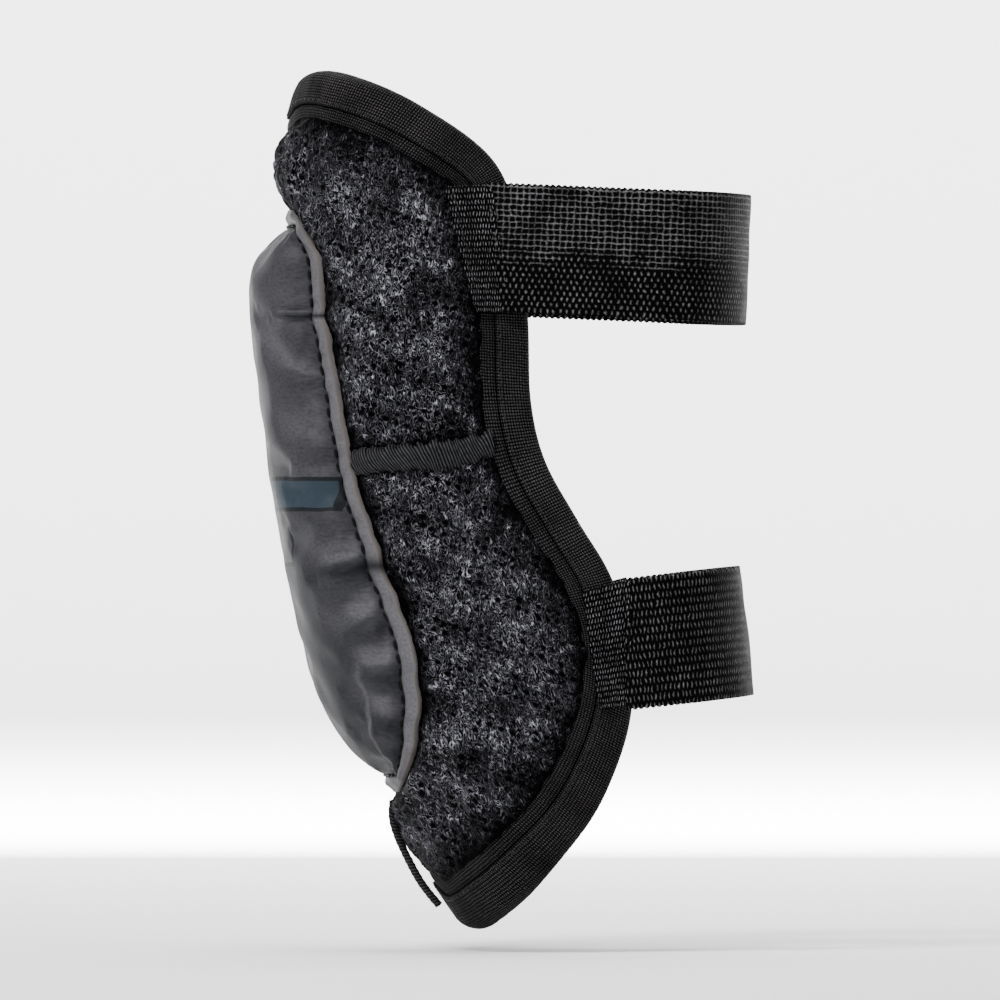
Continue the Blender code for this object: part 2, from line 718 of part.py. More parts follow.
def build_strap(name, strap):
    """One elastic loop: two tabs with their tack rows, two runs and the bight."""
    rows = 5
    height, _, _ = strap_frame(strap)
    path = loop_path(height)
    distance = lengths_along(path)
    bend = np.searchsorted(-path[:, 1], -path[0, 1] + 1e-9)
    split = float(np.interp(STRAP_REACH - BIGHT_LENGTH, path[bend - 1 :, 0], distance[bend - 1 :]))
    start = crease_run(strap, rows) + CLEARANCE
    share = np.linspace(0.0, 1.0, 9)[None]
    run = start[:, None] + (split - start[:, None]) * share
    edge = across_line(strap["tab_edge"])
    crease = across_line(strap["crease"])
    side_view = blend_rows(edge, crease, 8, 7)
    arc = arc_at(side_view[..., 0], side_view[..., 1])
    base = tab_base(arc, side_view[..., 1])
    tack_rows = np.linspace(0.04, 0.96, 8)[:, None, None]
    tack_left = edge[0] + tack_rows * (edge[1] - edge[0]) + (TACK_INSET, 0.0)
    tack_view = np.concatenate([tack_left, tack_left + (TACK_WIDTH, 0.0)], axis=1)
    tack_arc = arc_at(tack_view[..., 0], tack_view[..., 1])
    tack_base = tab_base(tack_arc, tack_view[..., 1]) + STRAP_THICKNESS + SEAT_GAP
    for side_name, side in (("right", -1.0), ("left", 1.0)):
        flat = np.stack([side * arc, side_view[..., 1]], axis=-1)
        tab = sheet_slab(flat, base + STRAP_THICKNESS, base)
        add_piece(f"{name}_strap_tab_{side_name}", tab, "elastic")
        flat = np.stack([side * tack_arc, tack_view[..., 1]], axis=-1)
        tack = sheet_slab(flat, tack_base + THREAD, tack_base)
        add_piece(f"{name}_strap_tack_{side_name}", tack, "thread")
        outer = strap_points(strap, run, side, STRAP_THICKNESS)
        inner = strap_points(strap, run, side, 0.0)
        add_piece(f"{name}_strap_run_{side_name}", slab(outer, inner), "elastic")
    half = np.linspace(split + CLEARANCE, distance[-1], 12)
    half = np.repeat(half[None], 2, axis=0)
    outer, inner = (
        np.concatenate(
            [
                strap_points(strap, half, -1.0, lift),
                strap_points(strap, half, 1.0, lift)[:, -2::-1],
            ],
            axis=1,
        )
        for lift in (STRAP_THICKNESS, 0.0)
    )
    add_piece(f"{name}_strap_bight", slab(outer, inner), "elastic")


def build_cord():
    """Short cord from the foot of the cap to the binding at the bottom of the front."""
    curve = bpy.data.curves.new("front_cord", "CURVE")
    curve.dimensions = "3D"
    curve.bevel_depth = CORD_DIAMETER / 2
    curve.bevel_resolution = 2
    curve.use_fill_caps = True
    route = smooth_path(CORD_ROUTE, 3) * MM
    spline = curve.splines.new("POLY")
    spline.points.add(len(route) - 1)
    for point, place_at in zip(spline.points, route):
        point.co = (*place_at, 1.0)
    curve.materials.append(MATERIAL_CACHE["cord_braid"])
    cord = bpy.data.objects.new("front_cord", curve)
    COLLECTION.objects.link(cord)


def make_material(name, colour, roughness):
    """Principled material with a colour and a roughness."""
    material = bpy.data.materials.new(name)
    material.use_nodes = True
    shader = material.node_tree.nodes["Principled BSDF"]
    shader.inputs["Base Color"].default_value = (*colour, 1.0)
    shader.inputs["Roughness"].default_value = roughness
    shader.inputs["Metallic"].default_value = 0.0
    material.diffuse_color = (*colour, 1.0)
    return material


for stale in list(bpy.data.objects):
    bpy.data.objects.remove(stale, do_unlink=True)
COLLECTION = bpy.data.collections.new("elbow_guard")
bpy.context.scene.collection.children.link(COLLECTION)
MATERIAL_CACHE = {name: make_material(name, *look) for name, look in MATERIALS.items()}

build_padding()
build_binding()
build_cap()
build_flex_bars()
for strap_name, strap_sizes in STRAPS.items():
    build_strap(strap_name, strap_sizes)
build_cord()
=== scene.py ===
"""Looks of a slip-on elbow guard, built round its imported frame.

The guard is one soft sheet bent round the limb. A point of the sheet has an arc length round the
limb from the centre of the cap, a height, and an offset outwards from the middle of the padding.
Units are metres; surface maps are in millimetres so that a pattern's pitch reads directly.
"""
from __future__ import annotations

import json
import logging
import math
from dataclasses import dataclass, field
from enum import Enum

import bpy
import numpy as np
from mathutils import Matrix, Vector

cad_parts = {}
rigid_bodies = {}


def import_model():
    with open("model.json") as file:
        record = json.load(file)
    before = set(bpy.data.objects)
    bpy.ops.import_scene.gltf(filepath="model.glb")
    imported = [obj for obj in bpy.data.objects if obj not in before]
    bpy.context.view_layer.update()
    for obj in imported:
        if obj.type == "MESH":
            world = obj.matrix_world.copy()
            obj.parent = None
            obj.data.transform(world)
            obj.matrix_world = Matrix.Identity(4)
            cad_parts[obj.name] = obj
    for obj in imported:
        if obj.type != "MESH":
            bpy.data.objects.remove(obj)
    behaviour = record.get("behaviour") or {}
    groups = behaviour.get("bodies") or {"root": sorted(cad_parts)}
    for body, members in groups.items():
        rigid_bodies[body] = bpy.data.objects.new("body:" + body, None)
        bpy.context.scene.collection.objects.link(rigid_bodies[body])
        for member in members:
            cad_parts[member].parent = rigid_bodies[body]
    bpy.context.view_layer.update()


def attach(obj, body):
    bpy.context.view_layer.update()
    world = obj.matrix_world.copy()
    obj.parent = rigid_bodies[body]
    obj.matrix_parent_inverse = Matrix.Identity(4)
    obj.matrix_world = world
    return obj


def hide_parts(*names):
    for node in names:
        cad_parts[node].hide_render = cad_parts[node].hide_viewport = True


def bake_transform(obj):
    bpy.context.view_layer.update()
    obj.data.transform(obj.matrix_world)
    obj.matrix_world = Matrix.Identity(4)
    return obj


LOG = logging.getLogger("elbow_guard")
MM = 0.001
SPAN_SAMPLES = 12  # samples in each span of a drawn curve
OUTLINE_SAMPLES = 420  # points of half the guard's outline
STITCH_SHARE = 0.36  # half a stitch's length as a share of the pitch
STRAIGHT_RUN = 60.0  # how far ahead of the limb's axis the drawn straps start, in millimetres
Array = np.ndarray


class Side(Enum):
    """Wing of the guard; the value is its direction along Y."""

    RIGHT = -1.0
    LEFT = 1.0


class Weave(Enum):
    """How the knots of an elastic band stand in neighbouring rows."""

    GRID = 0.0
    BRICK = 0.5


# ---------------------------------------------------------------- curves and grids


def smooth_path(points: list | Array, per_span: int = SPAN_SAMPLES) -> Array:
    """Curve through points: each span is a Catmull-Rom cubic of its four neighbours.

    Args:
        points: the points that the curve passes, one row each.
        per_span: samples in each span.

    Returns:
        The curve's samples, one row each.
    """
    points = np.array(points, dtype=float)
    padded = np.vstack([2 * points[0] - points[1], points, 2 * points[-1] - points[-2]])
    t = np.linspace(0.0, 1.0, per_span, endpoint=False)[:, None]
    spans = []
    for a, b, c, d in zip(padded[:-3], padded[1:-2], padded[2:-1], padded[3:]):
        bend = 2 * a - 5 * b + 4 * c - d
        spans.append(0.5 * (2 * b + (c - a) * t + bend * t**2 + (3 * b - a - 3 * c + d) * t**3))
    return np.vstack(spans + [points[-1:]])


def lengths_along(points: Array) -> Array:
    """Distance along a polyline at each of its points."""
    return np.concatenate([[0.0], np.cumsum(np.linalg.norm(np.diff(points, axis=0), axis=1))])


def at_lengths(wanted: Array, along: Array, points: Array) -> Array:
    """Points of a polyline at wanted distances along it, one row each."""
    return np.column_stack([np.interp(wanted, along, axis) for axis in points.T])


def resample(points: Array, count: int) -> Array:
    """The polyline's points at equal distances along it."""
    along = lengths_along(points)
    return at_lengths(np.linspace(0.0, along[-1], count), along, points)


def unit(vectors: Array) -> Array:
    """The vectors, one in each row, with a length of 1."""
    return vectors / np.maximum(np.linalg.norm(vectors, axis=-1, keepdims=True), 1e-12)


def rise(distance: Array, reach: float, power: float = 1.0) -> Array:
    """Soft step from 0 to 1: 1 - exp(-(distance / reach) ** power), 0 below zero distance."""
    return 1.0 - np.exp(-((np.maximum(distance, 0.0) / reach) ** power))


def ripple(u: Array, v: Array, wavelength: float, seed: int, waves: int = 18) -> Array:
    """Smooth irregular relief between about -1 and 1: a sum of cosines in seeded directions.

    Args:
        u: first surface coordinate.
        v: second surface coordinate.
        wavelength: middle wavelength of the cosines.
        seed: seed of the directions and phases.
        waves: how many cosines are summed.

    Returns:
        The relief at each point.
    """
    rng = np.random.default_rng(seed)
    angle = rng.uniform(0.0, 2 * math.pi, waves)
    number = 2 * math.pi / (wavelength * rng.uniform(0.6, 1.6, waves))
    phase = rng.uniform(0.0, 2 * math.pi, waves)
    total = np.zeros(np.broadcast(u, v).shape)
    for a, k, p in zip(angle, number, phase):
        total = total + np.cos(k * (np.cos(a) * u + np.sin(a) * v) + p)
    return total / math.sqrt(waves)


def bell(x: Array, width: float) -> Array:
    """Smooth bump exp(-(x / width) ** 2)."""
    return np.exp(-((x / width) ** 2))


def coons(bottom: Array, top: Array, centre: Array, side: Array) -> Array:
    """Patch between four curves; centre and side rise from the bottom curve to the top curve."""
    u = np.linspace(0.0, 1.0, len(bottom))[None, :, None]
    v = np.linspace(0.0, 1.0, len(centre))[:, None, None]
    across = (1 - v) * bottom[None] + v * top[None]
    along = (1 - u) * centre[:, None] + u * side[:, None]
    low = (1 - u) * bottom[0] + u * bottom[-1]
    high = (1 - u) * top[0] + u * top[-1]
    return across + along - (1 - v) * low - v * high


# ---------------------------------------------------------------- meshes


def new_piece(name: str, points: Array, faces: Array, maps: Array, masks: dict | None = None):
    """One smooth mesh object from arrays.

    Args:
        name: the object's name.
        points: vertex positions, one row each.
        faces: four vertex numbers in each row.
        maps: surface map coordinates of each vertex, in millimetres.
        masks: named values of each vertex that the material reads.

    Returns:
        The new object, linked to the scene.
    """
    mesh = bpy.data.meshes.new(name)
    mesh.vertices.add(len(points))
    mesh.vertices.foreach_set("co", np.ascontiguousarray(points, dtype=np.float32).ravel())
    mesh.loops.add(faces.size)
    mesh.loops.foreach_set("vertex_index", faces.astype(np.int32).ravel())
    mesh.polygons.add(len(faces))
    mesh.polygons.foreach_set("loop_start", np.arange(0, faces.size, 4, dtype=np.int32))
    mesh.polygons.foreach_set("use_smooth", np.full(len(faces), True))
    layer = mesh.uv_layers.new(name="surface")
    layer.data.foreach_set("uv", maps[faces.ravel()].astype(np.float32).ravel())
    for label, values in (masks or {}).items():
        attribute = mesh.attributes.new(label, "FLOAT", "POINT")
        attribute.data.foreach_set("value", np.ascontiguousarray(values, dtype=np.float32).ravel())
    mesh.update(calc_edges=True)
    mesh.validate()
    piece = bpy.data.objects.new(name, mesh)
    bpy.context.scene.collection.objects.link(piece)
    return piece


def quads(number: Array, flip: bool = False) -> Array:
    """Faces of a grid of vertex numbers, turned over if asked."""
    corners = [number[:-1, :-1], number[:-1, 1:], number[1:, 1:], number[1:, :-1]]
    if flip:
        corners.reverse()
    return np.stack(corners, axis=-1).reshape(-1, 4)


def closed_sheet(top: Array, bottom: Array, maps: Array, outwards: bool = True):
    """Closed solid between two grids of the same size.

    Args:
        top: points of the upper face, rows by columns by 3.
        bottom: points of the lower face.
        maps: surface map of both faces, in millimetres.
        outwards: False where the grid's own turn points the wrong way.

    Returns:
        Points, faces and maps for new_piece.
    """
    rows, columns = top.shape[:2]
    number = np.arange(rows * columns).reshape(rows, columns)
    under = number + rows * columns
    rim = np.concatenate([number[0, :-1], number[:-1, -1], number[-1, :0:-1], number[:0:-1, 0]])
    ring = np.append(rim, rim[0])
    wall = np.stack([ring[:-1], ring[:-1] + rows * columns, ring[1:] + rows * columns, ring[1:]], -1)
    faces = np.vstack([quads(number), quads(under, flip=True), wall])
    if outwards:
        faces = faces[:, ::-1]
    points = np.vstack([top.reshape(-1, 3), bottom.reshape(-1, 3)])
    flat = maps.reshape(-1, 2)
    return points, faces, np.vstack([flat, flat])


def closed_ring(sections: Array, along: Array, around: Array, outwards: bool = True):
    """Closed loop of closed sections, with map coordinates along the loop and round the section."""
    count, size = sections.shape[:2]
    number = np.arange(count * size).reshape(count, size)
    ahead = np.roll(number, -1, axis=0)
    faces = np.stack([number, np.roll(number, -1, 1), np.roll(ahead, -1, 1), ahead], -1).reshape(-1, 4)
    if not outwards:
        faces = faces[:, ::-1]
    maps = np.stack(np.meshgrid(along, around, indexing="ij"), axis=-1).reshape(-1, 2)
    return sections.reshape(-1, 3), faces, maps


def beads(centres: Array, along: Array, across: Array, up: Array, size: tuple[float, float, float]):
    """Rounded stitches: an ellipsoid of 10 by 6 faces at each centre.

    Args:
        centres: middle of each stitch.
        along: unit direction of each stitch.
        across: unit direction across each stitch.
        up: unit direction out of the cloth.
        size: half length, half width and half height.

    Returns:
        Points, faces and maps for new_piece.
    """
    turn = np.linspace(0.0, 2 * math.pi, 7)[:-1]
    reach = np.linspace(-0.98, 0.98, 11)
    girth = np.sqrt(1.0 - np.abs(reach) ** 2.6)
    x = np.repeat(reach[:, None], 6, axis=1)
    y = girth[:, None] * np.cos(turn)
    z = girth[:, None] * np.sin(turn)
    shape = np.stack([x * size[0], y * size[1], z * size[2]], axis=-1).reshape(-1, 3)
    frame = np.stack([along, across, up], axis=1)
    points = centres[:, None, :] + np.einsum("pk,skj->spj", shape, frame)
    number = np.arange(66).reshape(11, 6)
    body = np.stack(
        [number[:-1], np.roll(number, -1, 1)[:-1], np.roll(number, -1, 1)[1:], number[1:]], -1
    ).reshape(-1, 4)
    first, last = number[0], number[-1]
    caps = np.array(
        [
            [first[0], first[3], first[2], first[1]],
            [first[0], first[5], first[4], first[3]],
            [last[0], last[1], last[2], last[3]],
            [last[0], last[3], last[4], last[5]],
        ]
    )
    one = np.vstack([body, caps])
    faces = (one[None] + 66 * np.arange(len(centres))[:, None, None]).reshape(-1, 4)
    maps = np.tile(shape[:, :2] / MM, (len(centres), 1))
    return points.reshape(-1, 3), faces, maps


def finer(grid: Array, factor: int) -> Array:
    """Grid with a factor more rows and columns, on Catmull-Rom cubics through the given points."""
    for _ in range(2):
        padded = np.concatenate([2 * grid[:1] - grid[1:2], grid, 2 * grid[-1:] - grid[-2:-1]])
        share = (np.arange(factor) / factor).reshape(1, -1, *(1,) * (grid.ndim - 1))
        a, b, c, d = (padded[i : len(padded) - 3 + i, None] for i in range(4))
        bend = 2 * a - 5 * b + 4 * c - d
        cubic = 0.5 * (2 * b + (c - a) * share + bend * share**2 + (3 * b - a - 3 * c + d) * share**3)
        grid = np.concatenate([cubic.reshape(-1, *grid.shape[1:]), grid[-1:]])
        grid = np.swapaxes(grid, 0, 1)
    return grid


@dataclass(frozen=True)
class ClothRun:
    """Short cloth simulation that fills and wrinkles a sewn skin. The limit is in metres."""

    frames: int = 20
    pressure: float = 4.0
    growth: float = 0.06
    bending: float = 0.15
    limit: float = 0.0022

    def moves(self, points: Array, pinned: Array) -> Array:
        """How far each point of a grid moves when the skin is blown up from inside.

        Args:
            points: the skin's points, rows by columns by 3.
            pinned: True where the skin is sewn down.

        Returns:
            The move of each point, never longer than the limit.
        """
        number = np.arange(pinned.size).reshape(pinned.shape)
        flat = np.zeros((pinned.size, 2))
        skin = new_piece("cloth_run", points.reshape(-1, 3), quads(number), flat)
        group = skin.vertex_groups.new(name="sewn")
        group.add(np.flatnonzero(pinned.ravel()).tolist(), 1.0, "REPLACE")
        settings = skin.modifiers.new("cloth", "CLOTH").settings
        settings.quality = 6
        settings.mass = 0.2
        settings.tension_stiffness = 12.0
        settings.compression_stiffness = 6.0
        settings.shear_stiffness = 4.0
        settings.bending_stiffness = self.bending
        settings.vertex_group_mass = "sewn"
        settings.use_pressure = True
        settings.uniform_pressure_force = self.pressure
        settings.shrink_min = -self.growth
        settings.effector_weights.gravity = 0.0
        for frame in range(1, self.frames + 1):
            bpy.context.scene.frame_set(frame)
        filled = skin.evaluated_get(bpy.context.evaluated_depsgraph_get())
        found = np.empty(points.size, dtype=np.float32)
        filled.data.vertices.foreach_get("co", found)
        move = found.reshape(points.shape) - points
        bpy.data.objects.remove(skin, do_unlink=True)
        bpy.context.scene.frame_set(1)
        length = np.linalg.norm(move, axis=-1, keepdims=True)
        LOG.info("cloth run: mean move %.2f mm, longest %.2f mm", length.mean() / MM, length.max() / MM)
        return move * np.minimum(1.0, self.limit / np.maximum(length, 1e-9))


# ---------------------------------------------------------------- the guard's sheet


@dataclass(frozen=True)
class GuardSheet:
    """Shape of the guard's middle surface and its outline, from sizes in millimetres."""

    half_width: float = 41.5
    nose_length: float = 32.0
    nose_power: float = 2.4
    width_taper: float = 0.04
    half_height: float = 107.85
    flex_height: float = 16.3
    flex_slope: float = 0.16
    flex_depth: float = -2.0
    seam_inset: float = 11.4
    seam_offset: float = 2.5
    puff: float = 3.5
    cap_offset: float = 3.6
    top_dip: float = 3.6
    bottom_dip: float = 3.4
    front_line: tuple = (
        (-18.4, -108.0), (-21.7, -100.0), (-29.2, -85.0), (-37.7, -65.0), (-45.7, -40.0),
        (-51.7, -10.0), (-55.7, 20.0), (-58.9, 50.0), (-60.8, 73.0), (-61.5, 85.0),
        (-60.2, 97.0), (-59.2, 108.0),
    )
    rear_edge: tuple = (
        (-16.2, -107.9), (-7.5, -102.0), (4.0, -90.0), (14.5, -75.0), (21.2, -56.0),
        (21.9, -37.0), (16.7, -19.5), (8.2, -5.0), (0.0, 10.0), (-3.5, 25.0), (-4.2, 45.0),
        (-6.3, 66.0), (-12.5, 84.5), (-30.2, 98.2), (-45.7, 105.5), (-56.0, 107.8),
    )
    flange_edge: tuple = (
        (-35.4, -73.5), (-32.2, -62.0), (-31.0, -48.6), (-33.2, -35.0), (-38.7, -20.0),
        (-45.7, 0.0), (-49.2, 15.0), (-52.0, 31.0), (-54.9, 45.7), (-56.4, 60.0), (-62.4, 73.0),
    )
    tables: dict = field(default_factory=dict)

    def __post_init__(self) -> None:
        """Works out the plan curve, the front line, the outline and the cap's edge."""
        angle = np.linspace(0.0, math.pi / 2, 400)
        nose_x = self.nose_length * (1.0 - np.cos(angle) ** (2.0 / self.nose_power))
        nose_y = self.half_width * np.sin(angle) ** (2.0 / self.nose_power)
        wing_x = self.nose_length + np.linspace(0.0, 140.0, 120)[1:]
        wing_y = np.full_like(wing_x, self.half_width)
        plan = np.column_stack([np.append(nose_x, wing_x), np.append(nose_y, wing_y)])
        arc = lengths_along(plan)
        step = unit(np.gradient(plan, arc, axis=0))
        self.tables.update(plan=plan, arc=arc, step=step)
        self.tables["front"] = smooth_path(self.front_line)
        self.tables["cap"] = smooth_path(self.flange_edge)
        rear = np.array(self.rear_edge)
        flat = np.column_stack([self.arc_at(rear[:, 0], rear[:, 1]), rear[:, 1]])
        low = (0.0, flat[0, 1] + self.bottom_dip)
        high = (0.0, flat[-1, 1] - self.top_dip)
        turned = np.array([-1.0, 1.0])
        path = smooth_path(np.vstack([flat[0] * turned, low, flat, high, flat[-1] * turned]))
        outline = resample(path[SPAN_SAMPLES : len(path) - SPAN_SAMPLES], OUTLINE_SAMPLES)
        way = np.gradient(outline, axis=0)
        way[0], way[-1] = (1.0, 0.0), (-1.0, 0.0)
        way = unit(way)
        self.tables["outline"] = outline
        self.tables["inward"] = np.column_stack([-way[:, 1], way[:, 0]])

    def front(self, height: Array) -> Array:
        """Depth of the middle surface at the centre of the front."""
        path = self.tables["front"]
        return np.interp(height, path[:, 1], path[:, 0])

    def arc_at(self, depth: Array, height: Array, offset: float = 0.0) -> Array:
        """Arc length at which the sheet, offset outwards, has a given depth."""
        reach = self.tables["plan"][:, 0] - offset * self.tables["step"][:, 1]
        return np.interp(depth - self.front(height), reach, self.tables["arc"])

    def place(self, arc: Array, height: Array, offset: Array) -> Array:
        """World points, in metres, of sheet coordinates in millimetres.

        The plan curve is a superellipse front and a straight wing; the offset follows its normal.
        """
        run = np.abs(arc)
        plan, along, step = (self.tables[key] for key in ("plan", "arc", "step"))
        x, y = (np.interp(run, along, axis) for axis in plan.T)
        out_x = -np.interp(run, along, step[:, 1])
        out_y = np.interp(run, along, step[:, 0])
        share = 1.0 + self.width_taper * height / self.half_height
        world_x = self.front(height) + x + offset * out_x
        world_y = np.sign(arc) * (y * share + offset * out_y)
        return np.stack([world_x, world_y, height + 0.0 * world_x], axis=-1) * MM

    def edge_distance(self, arc: Array, height: Array) -> Array:
        """Distance on the flat sheet from points to the outline."""
        flat = np.stack([np.abs(arc), height + 0.0 * arc], axis=-1).reshape(-1, 2)
        best = np.full(len(flat), np.inf)
        for point in self.tables["outline"]:
            best = np.minimum(best, ((flat - point) ** 2).sum(axis=1))
        return np.sqrt(best).reshape(np.shape(arc))

    def flex_line(self, arc: Array) -> Array:
        """Height of the flex line at an arc length."""
        rear_arc = self.arc_at(self.flex_depth, self.flex_height)
        depth = np.interp(np.abs(arc), self.tables["arc"], self.tables["plan"][:, 0])
        rear = np.interp(rear_arc, self.tables["arc"], self.tables["plan"][:, 0])
        return self.flex_height + self.flex_slope * (depth - rear)

    def cap_ends(self) -> tuple[float, float]:
        """Heights of the cap's foot and head."""
        path = self.tables["cap"]
        return float(path[0, 1]), float(path[-1, 1])

    def cap_half(self, height: Array) -> Array:
        """Arc length from the centre of the cap to its flange's edge."""
        path = self.tables["cap"]
        held = np.clip(height, path[0, 1], path[-1, 1])
        return self.arc_at(np.interp(held, path[:, 1], path[:, 0]), held, self.cap_offset)

    def outside_cap(self, arc: Array, height: Array) -> Array:
        """Distance outwards from the cap's edge, 0 under the cap."""
        low, high = self.cap_ends()
        beside = np.maximum(np.abs(arc) - self.cap_half(height), 0.0)
        beyond = np.maximum(np.maximum(height - high, low - height), 0.0)
        return np.hypot(beside, beyond)

    def skin(self, arc: Array, height: Array, detail: bool = True) -> Array:
        """Offset of the knit's face: puffed padding, drawn down at its seams.

        base + puff * edge * flex * cap, where each factor rises softly from its seam.

        Args:
            arc: arc lengths.
            height: heights.
            detail: whether the fine crumples are added.

        Returns:
            Offset in millimetres at each point.
        """
        edge = self.edge_distance(arc, height)
        near_edge = rise(edge - self.seam_inset, 5.0, 0.9)
        near_flex = rise(np.abs(height - self.flex_line(arc)) - 2.0, 6.5, 1.2)
        near_cap = rise(self.outside_cap(arc, height) - 0.6, 4.6, 1.1)
        free = near_edge * near_flex * near_cap
        seam = self.seam_offset + 0.08 * np.minimum(edge, self.seam_inset)
        offset = seam + self.puff * free
        if not detail:
            return offset
        crumple = 0.42 * ripple(arc, height, 15.0, 5) + 0.26 * ripple(arc, 1.5 * height, 6.5, 11)
        fine = 0.1 * ripple(arc, 1.3 * height, 2.6, 23, 30)
        return offset + crumple * (0.25 + 0.75 * free) + fine

    def inset(self, distance: float) -> Array:
        """The half outline moved into the sheet."""
        moved = self.tables["outline"] + distance * self.tables["inward"]
        moved[[0, -1], 0] = 0.0
        return moved

    def grid(self, inset: float, half_columns: int, half_rows: int) -> Array:
        """Flat grid of the whole sheet: a Coons patch above and below the flex line, mirrored."""
        edge = self.inset(inset)
        corner_arc = np.interp(0.6 * self.nose_length, self.tables["plan"][:, 0], self.tables["arc"])
        beyond = np.flatnonzero(self.tables["outline"][:, 0] > corner_arc)
        low, high = int(beyond[0]), int(beyond[-1])
        side = edge[low : high + 1]
        over = side[:, 1] - self.flex_line(side[:, 0])
        order = np.arange(len(side), dtype=float)
        start = float(np.interp(0.0, over, order))
        corner = np.array([np.interp(start, order, axis) for axis in side.T])
        arcs = np.linspace(0.0, corner[0], half_columns + 1)
        line = self.flex_line(arcs)
        line = line + arcs / corner[0] * (corner[1] - line[-1])
        flex_row = np.column_stack([arcs, line])
        patches = []
        for upper in (False, True):
            rest = side[math.ceil(start) :] if upper else side[: math.floor(start) + 1][::-1]
            end = edge[high:][::-1] if upper else edge[: low + 1]
            end_row = resample(end, half_columns + 1)
            side_curve = resample(np.vstack([corner, rest]), half_rows + 1)
            middle = np.linspace(line[0], end_row[0, 1], half_rows + 1)
            centre = np.column_stack([np.zeros(half_rows + 1), middle])
            patch = coons(flex_row, end_row, centre, side_curve)
            patches.append(patch[1:] if upper else patch[::-1])
        half = np.concatenate(patches)
        return np.concatenate([half[:, :0:-1] * (-1.0, 1.0), half], axis=1)

    def loop(self, count: int) -> tuple[Array, Array, Array]:
        """Closed outline: flat points, inward normals and distance along, all in millimetres."""
        outline, inward = self.tables["outline"], self.tables["inward"]
        along = lengths_along(outline)
        wanted = np.linspace(0.0, along[-1], count + 1)
        half = at_lengths(wanted, along, np.column_stack([outline, inward]))
        mirrored = half[-2:0:-1] * (-1.0, 1.0, -1.0, 1.0)
        whole = np.vstack([half, mirrored])
        distance = np.arange(len(whole)) * (wanted[1] - wanted[0])
        return whole[:, :2], whole[:, 2:], distance

    def stitches(self, line: Array, along: Array, pitch: float, offset, size: tuple[float, float]):
        """Row of stitches along a closed flat line.

        Args:
            line: flat points of the line, with the first one again at its end.
            along: distance along the line at each point.
            pitch: distance from stitch to stitch.
            offset: function from flat points to the offset of the stitches' middles.
            size: half width and half height of a stitch.

        Returns:
            How many stitches there are, and their points, faces and maps for new_piece.
        """
        count = int(along[-1] / pitch)
        spots = (np.arange(count) + 0.5) * along[-1] / count
        middle = at_lengths(spots, along, line)
        ahead = at_lengths(spots + 0.5, along, line)
        lift = offset(middle)
        centre = self.place(middle[:, 0], middle[:, 1], lift)
        forward = unit(self.place(ahead[:, 0], ahead[:, 1], lift) - centre)
        outward = unit(self.place(middle[:, 0], middle[:, 1], lift + 1.0) - centre)
        across = np.cross(outward, forward)
        sizes = (STITCH_SHARE * pitch * MM, size[0] * MM, size[1] * MM)
        return count, beads(centre, forward, across, outward, sizes)


# ---------------------------------------------------------------- shader building


class Nodes:
    """Short way to add and link nodes in one node tree."""

    def __init__(self, tree) -> None:
        """Keeps the tree that the nodes go in."""
        self.tree = tree

    def add(self, kind: str, inputs: dict | None = None, **settings):
        """One node with its settings, and its inputs linked or set.

        Args:
            kind: the node's type.
            inputs: socket name or number to a value or to another node's output.
            settings: properties of the node.

        Returns:
            The node.
        """
        node = self.tree.nodes.new(kind)
        for name, value in settings.items():
            setattr(node, name, value)
        for name, value in (inputs or {}).items():
            socket = node.inputs[name]
            if isinstance(value, bpy.types.NodeSocket):
                self.tree.links.new(value, socket)
            else:
                socket.default_value = value
        return node

    def math(self, operation: str, first, second=0.5, third=0.0, clamp: bool = False):
        """Output of a Math node."""
        inputs = {0: first, 1: second, 2: third}
        return self.add("ShaderNodeMath", inputs, operation=operation, use_clamp=clamp).outputs[0]

    def ramp(self, value, stops: list[tuple[float, tuple]]):
        """Colour output of a ramp with the given stops."""
        node = self.add("ShaderNodeValToRGB", {"Fac": value})
        elements = node.color_ramp.elements
        while len(elements) < len(stops):
            elements.new(0.5)
        for element, (position, colour) in zip(elements, stops):
            element.position = position
            element.color = (*colour, 1.0)
        return node.outputs["Color"]

    def mix(self, factor, first, second):
        """Colour output of a Mix node."""
        return self.add("ShaderNodeMix", {0: factor, 6: first, 7: second}, data_type="RGBA").outputs[2]

    def attribute(self, name: str):
        """Value of a named mask of the piece."""
        return self.add("ShaderNodeAttribute", attribute_name=name).outputs["Fac"]

    def noise(self, place, scale, detail: float = 2.0):
        """Value of a noise at a place on the surface map."""
        settings = {"Vector": place, "Scale": scale, "Detail": detail}
        return self.add("ShaderNodeTexNoise", settings).outputs["Fac"]


def new_group(name: str, inputs: dict[str, tuple[str, float]], outputs: dict[str, str]):
    """Empty shader node group with named sockets.

    Args:
        name: the group's name.
        inputs: socket name to its kind and default; a vector has no default.
        outputs: socket name to its kind.

    Returns:
        The tree, its Nodes helper, the input node and the output node.
    """
    tree = bpy.data.node_groups.new(name, "ShaderNodeTree")
    for label, (kind, default) in inputs.items():
        socket = tree.interface.new_socket(label, in_out="INPUT", socket_type=f"NodeSocket{kind}")
        if kind == "Float":
            socket.default_value = default
    for label, kind in outputs.items():
        tree.interface.new_socket(label, in_out="OUTPUT", socket_type=f"NodeSocket{kind}")
    nodes = Nodes(tree)
    return tree, nodes, nodes.add("NodeGroupInput"), nodes.add("NodeGroupOutput")


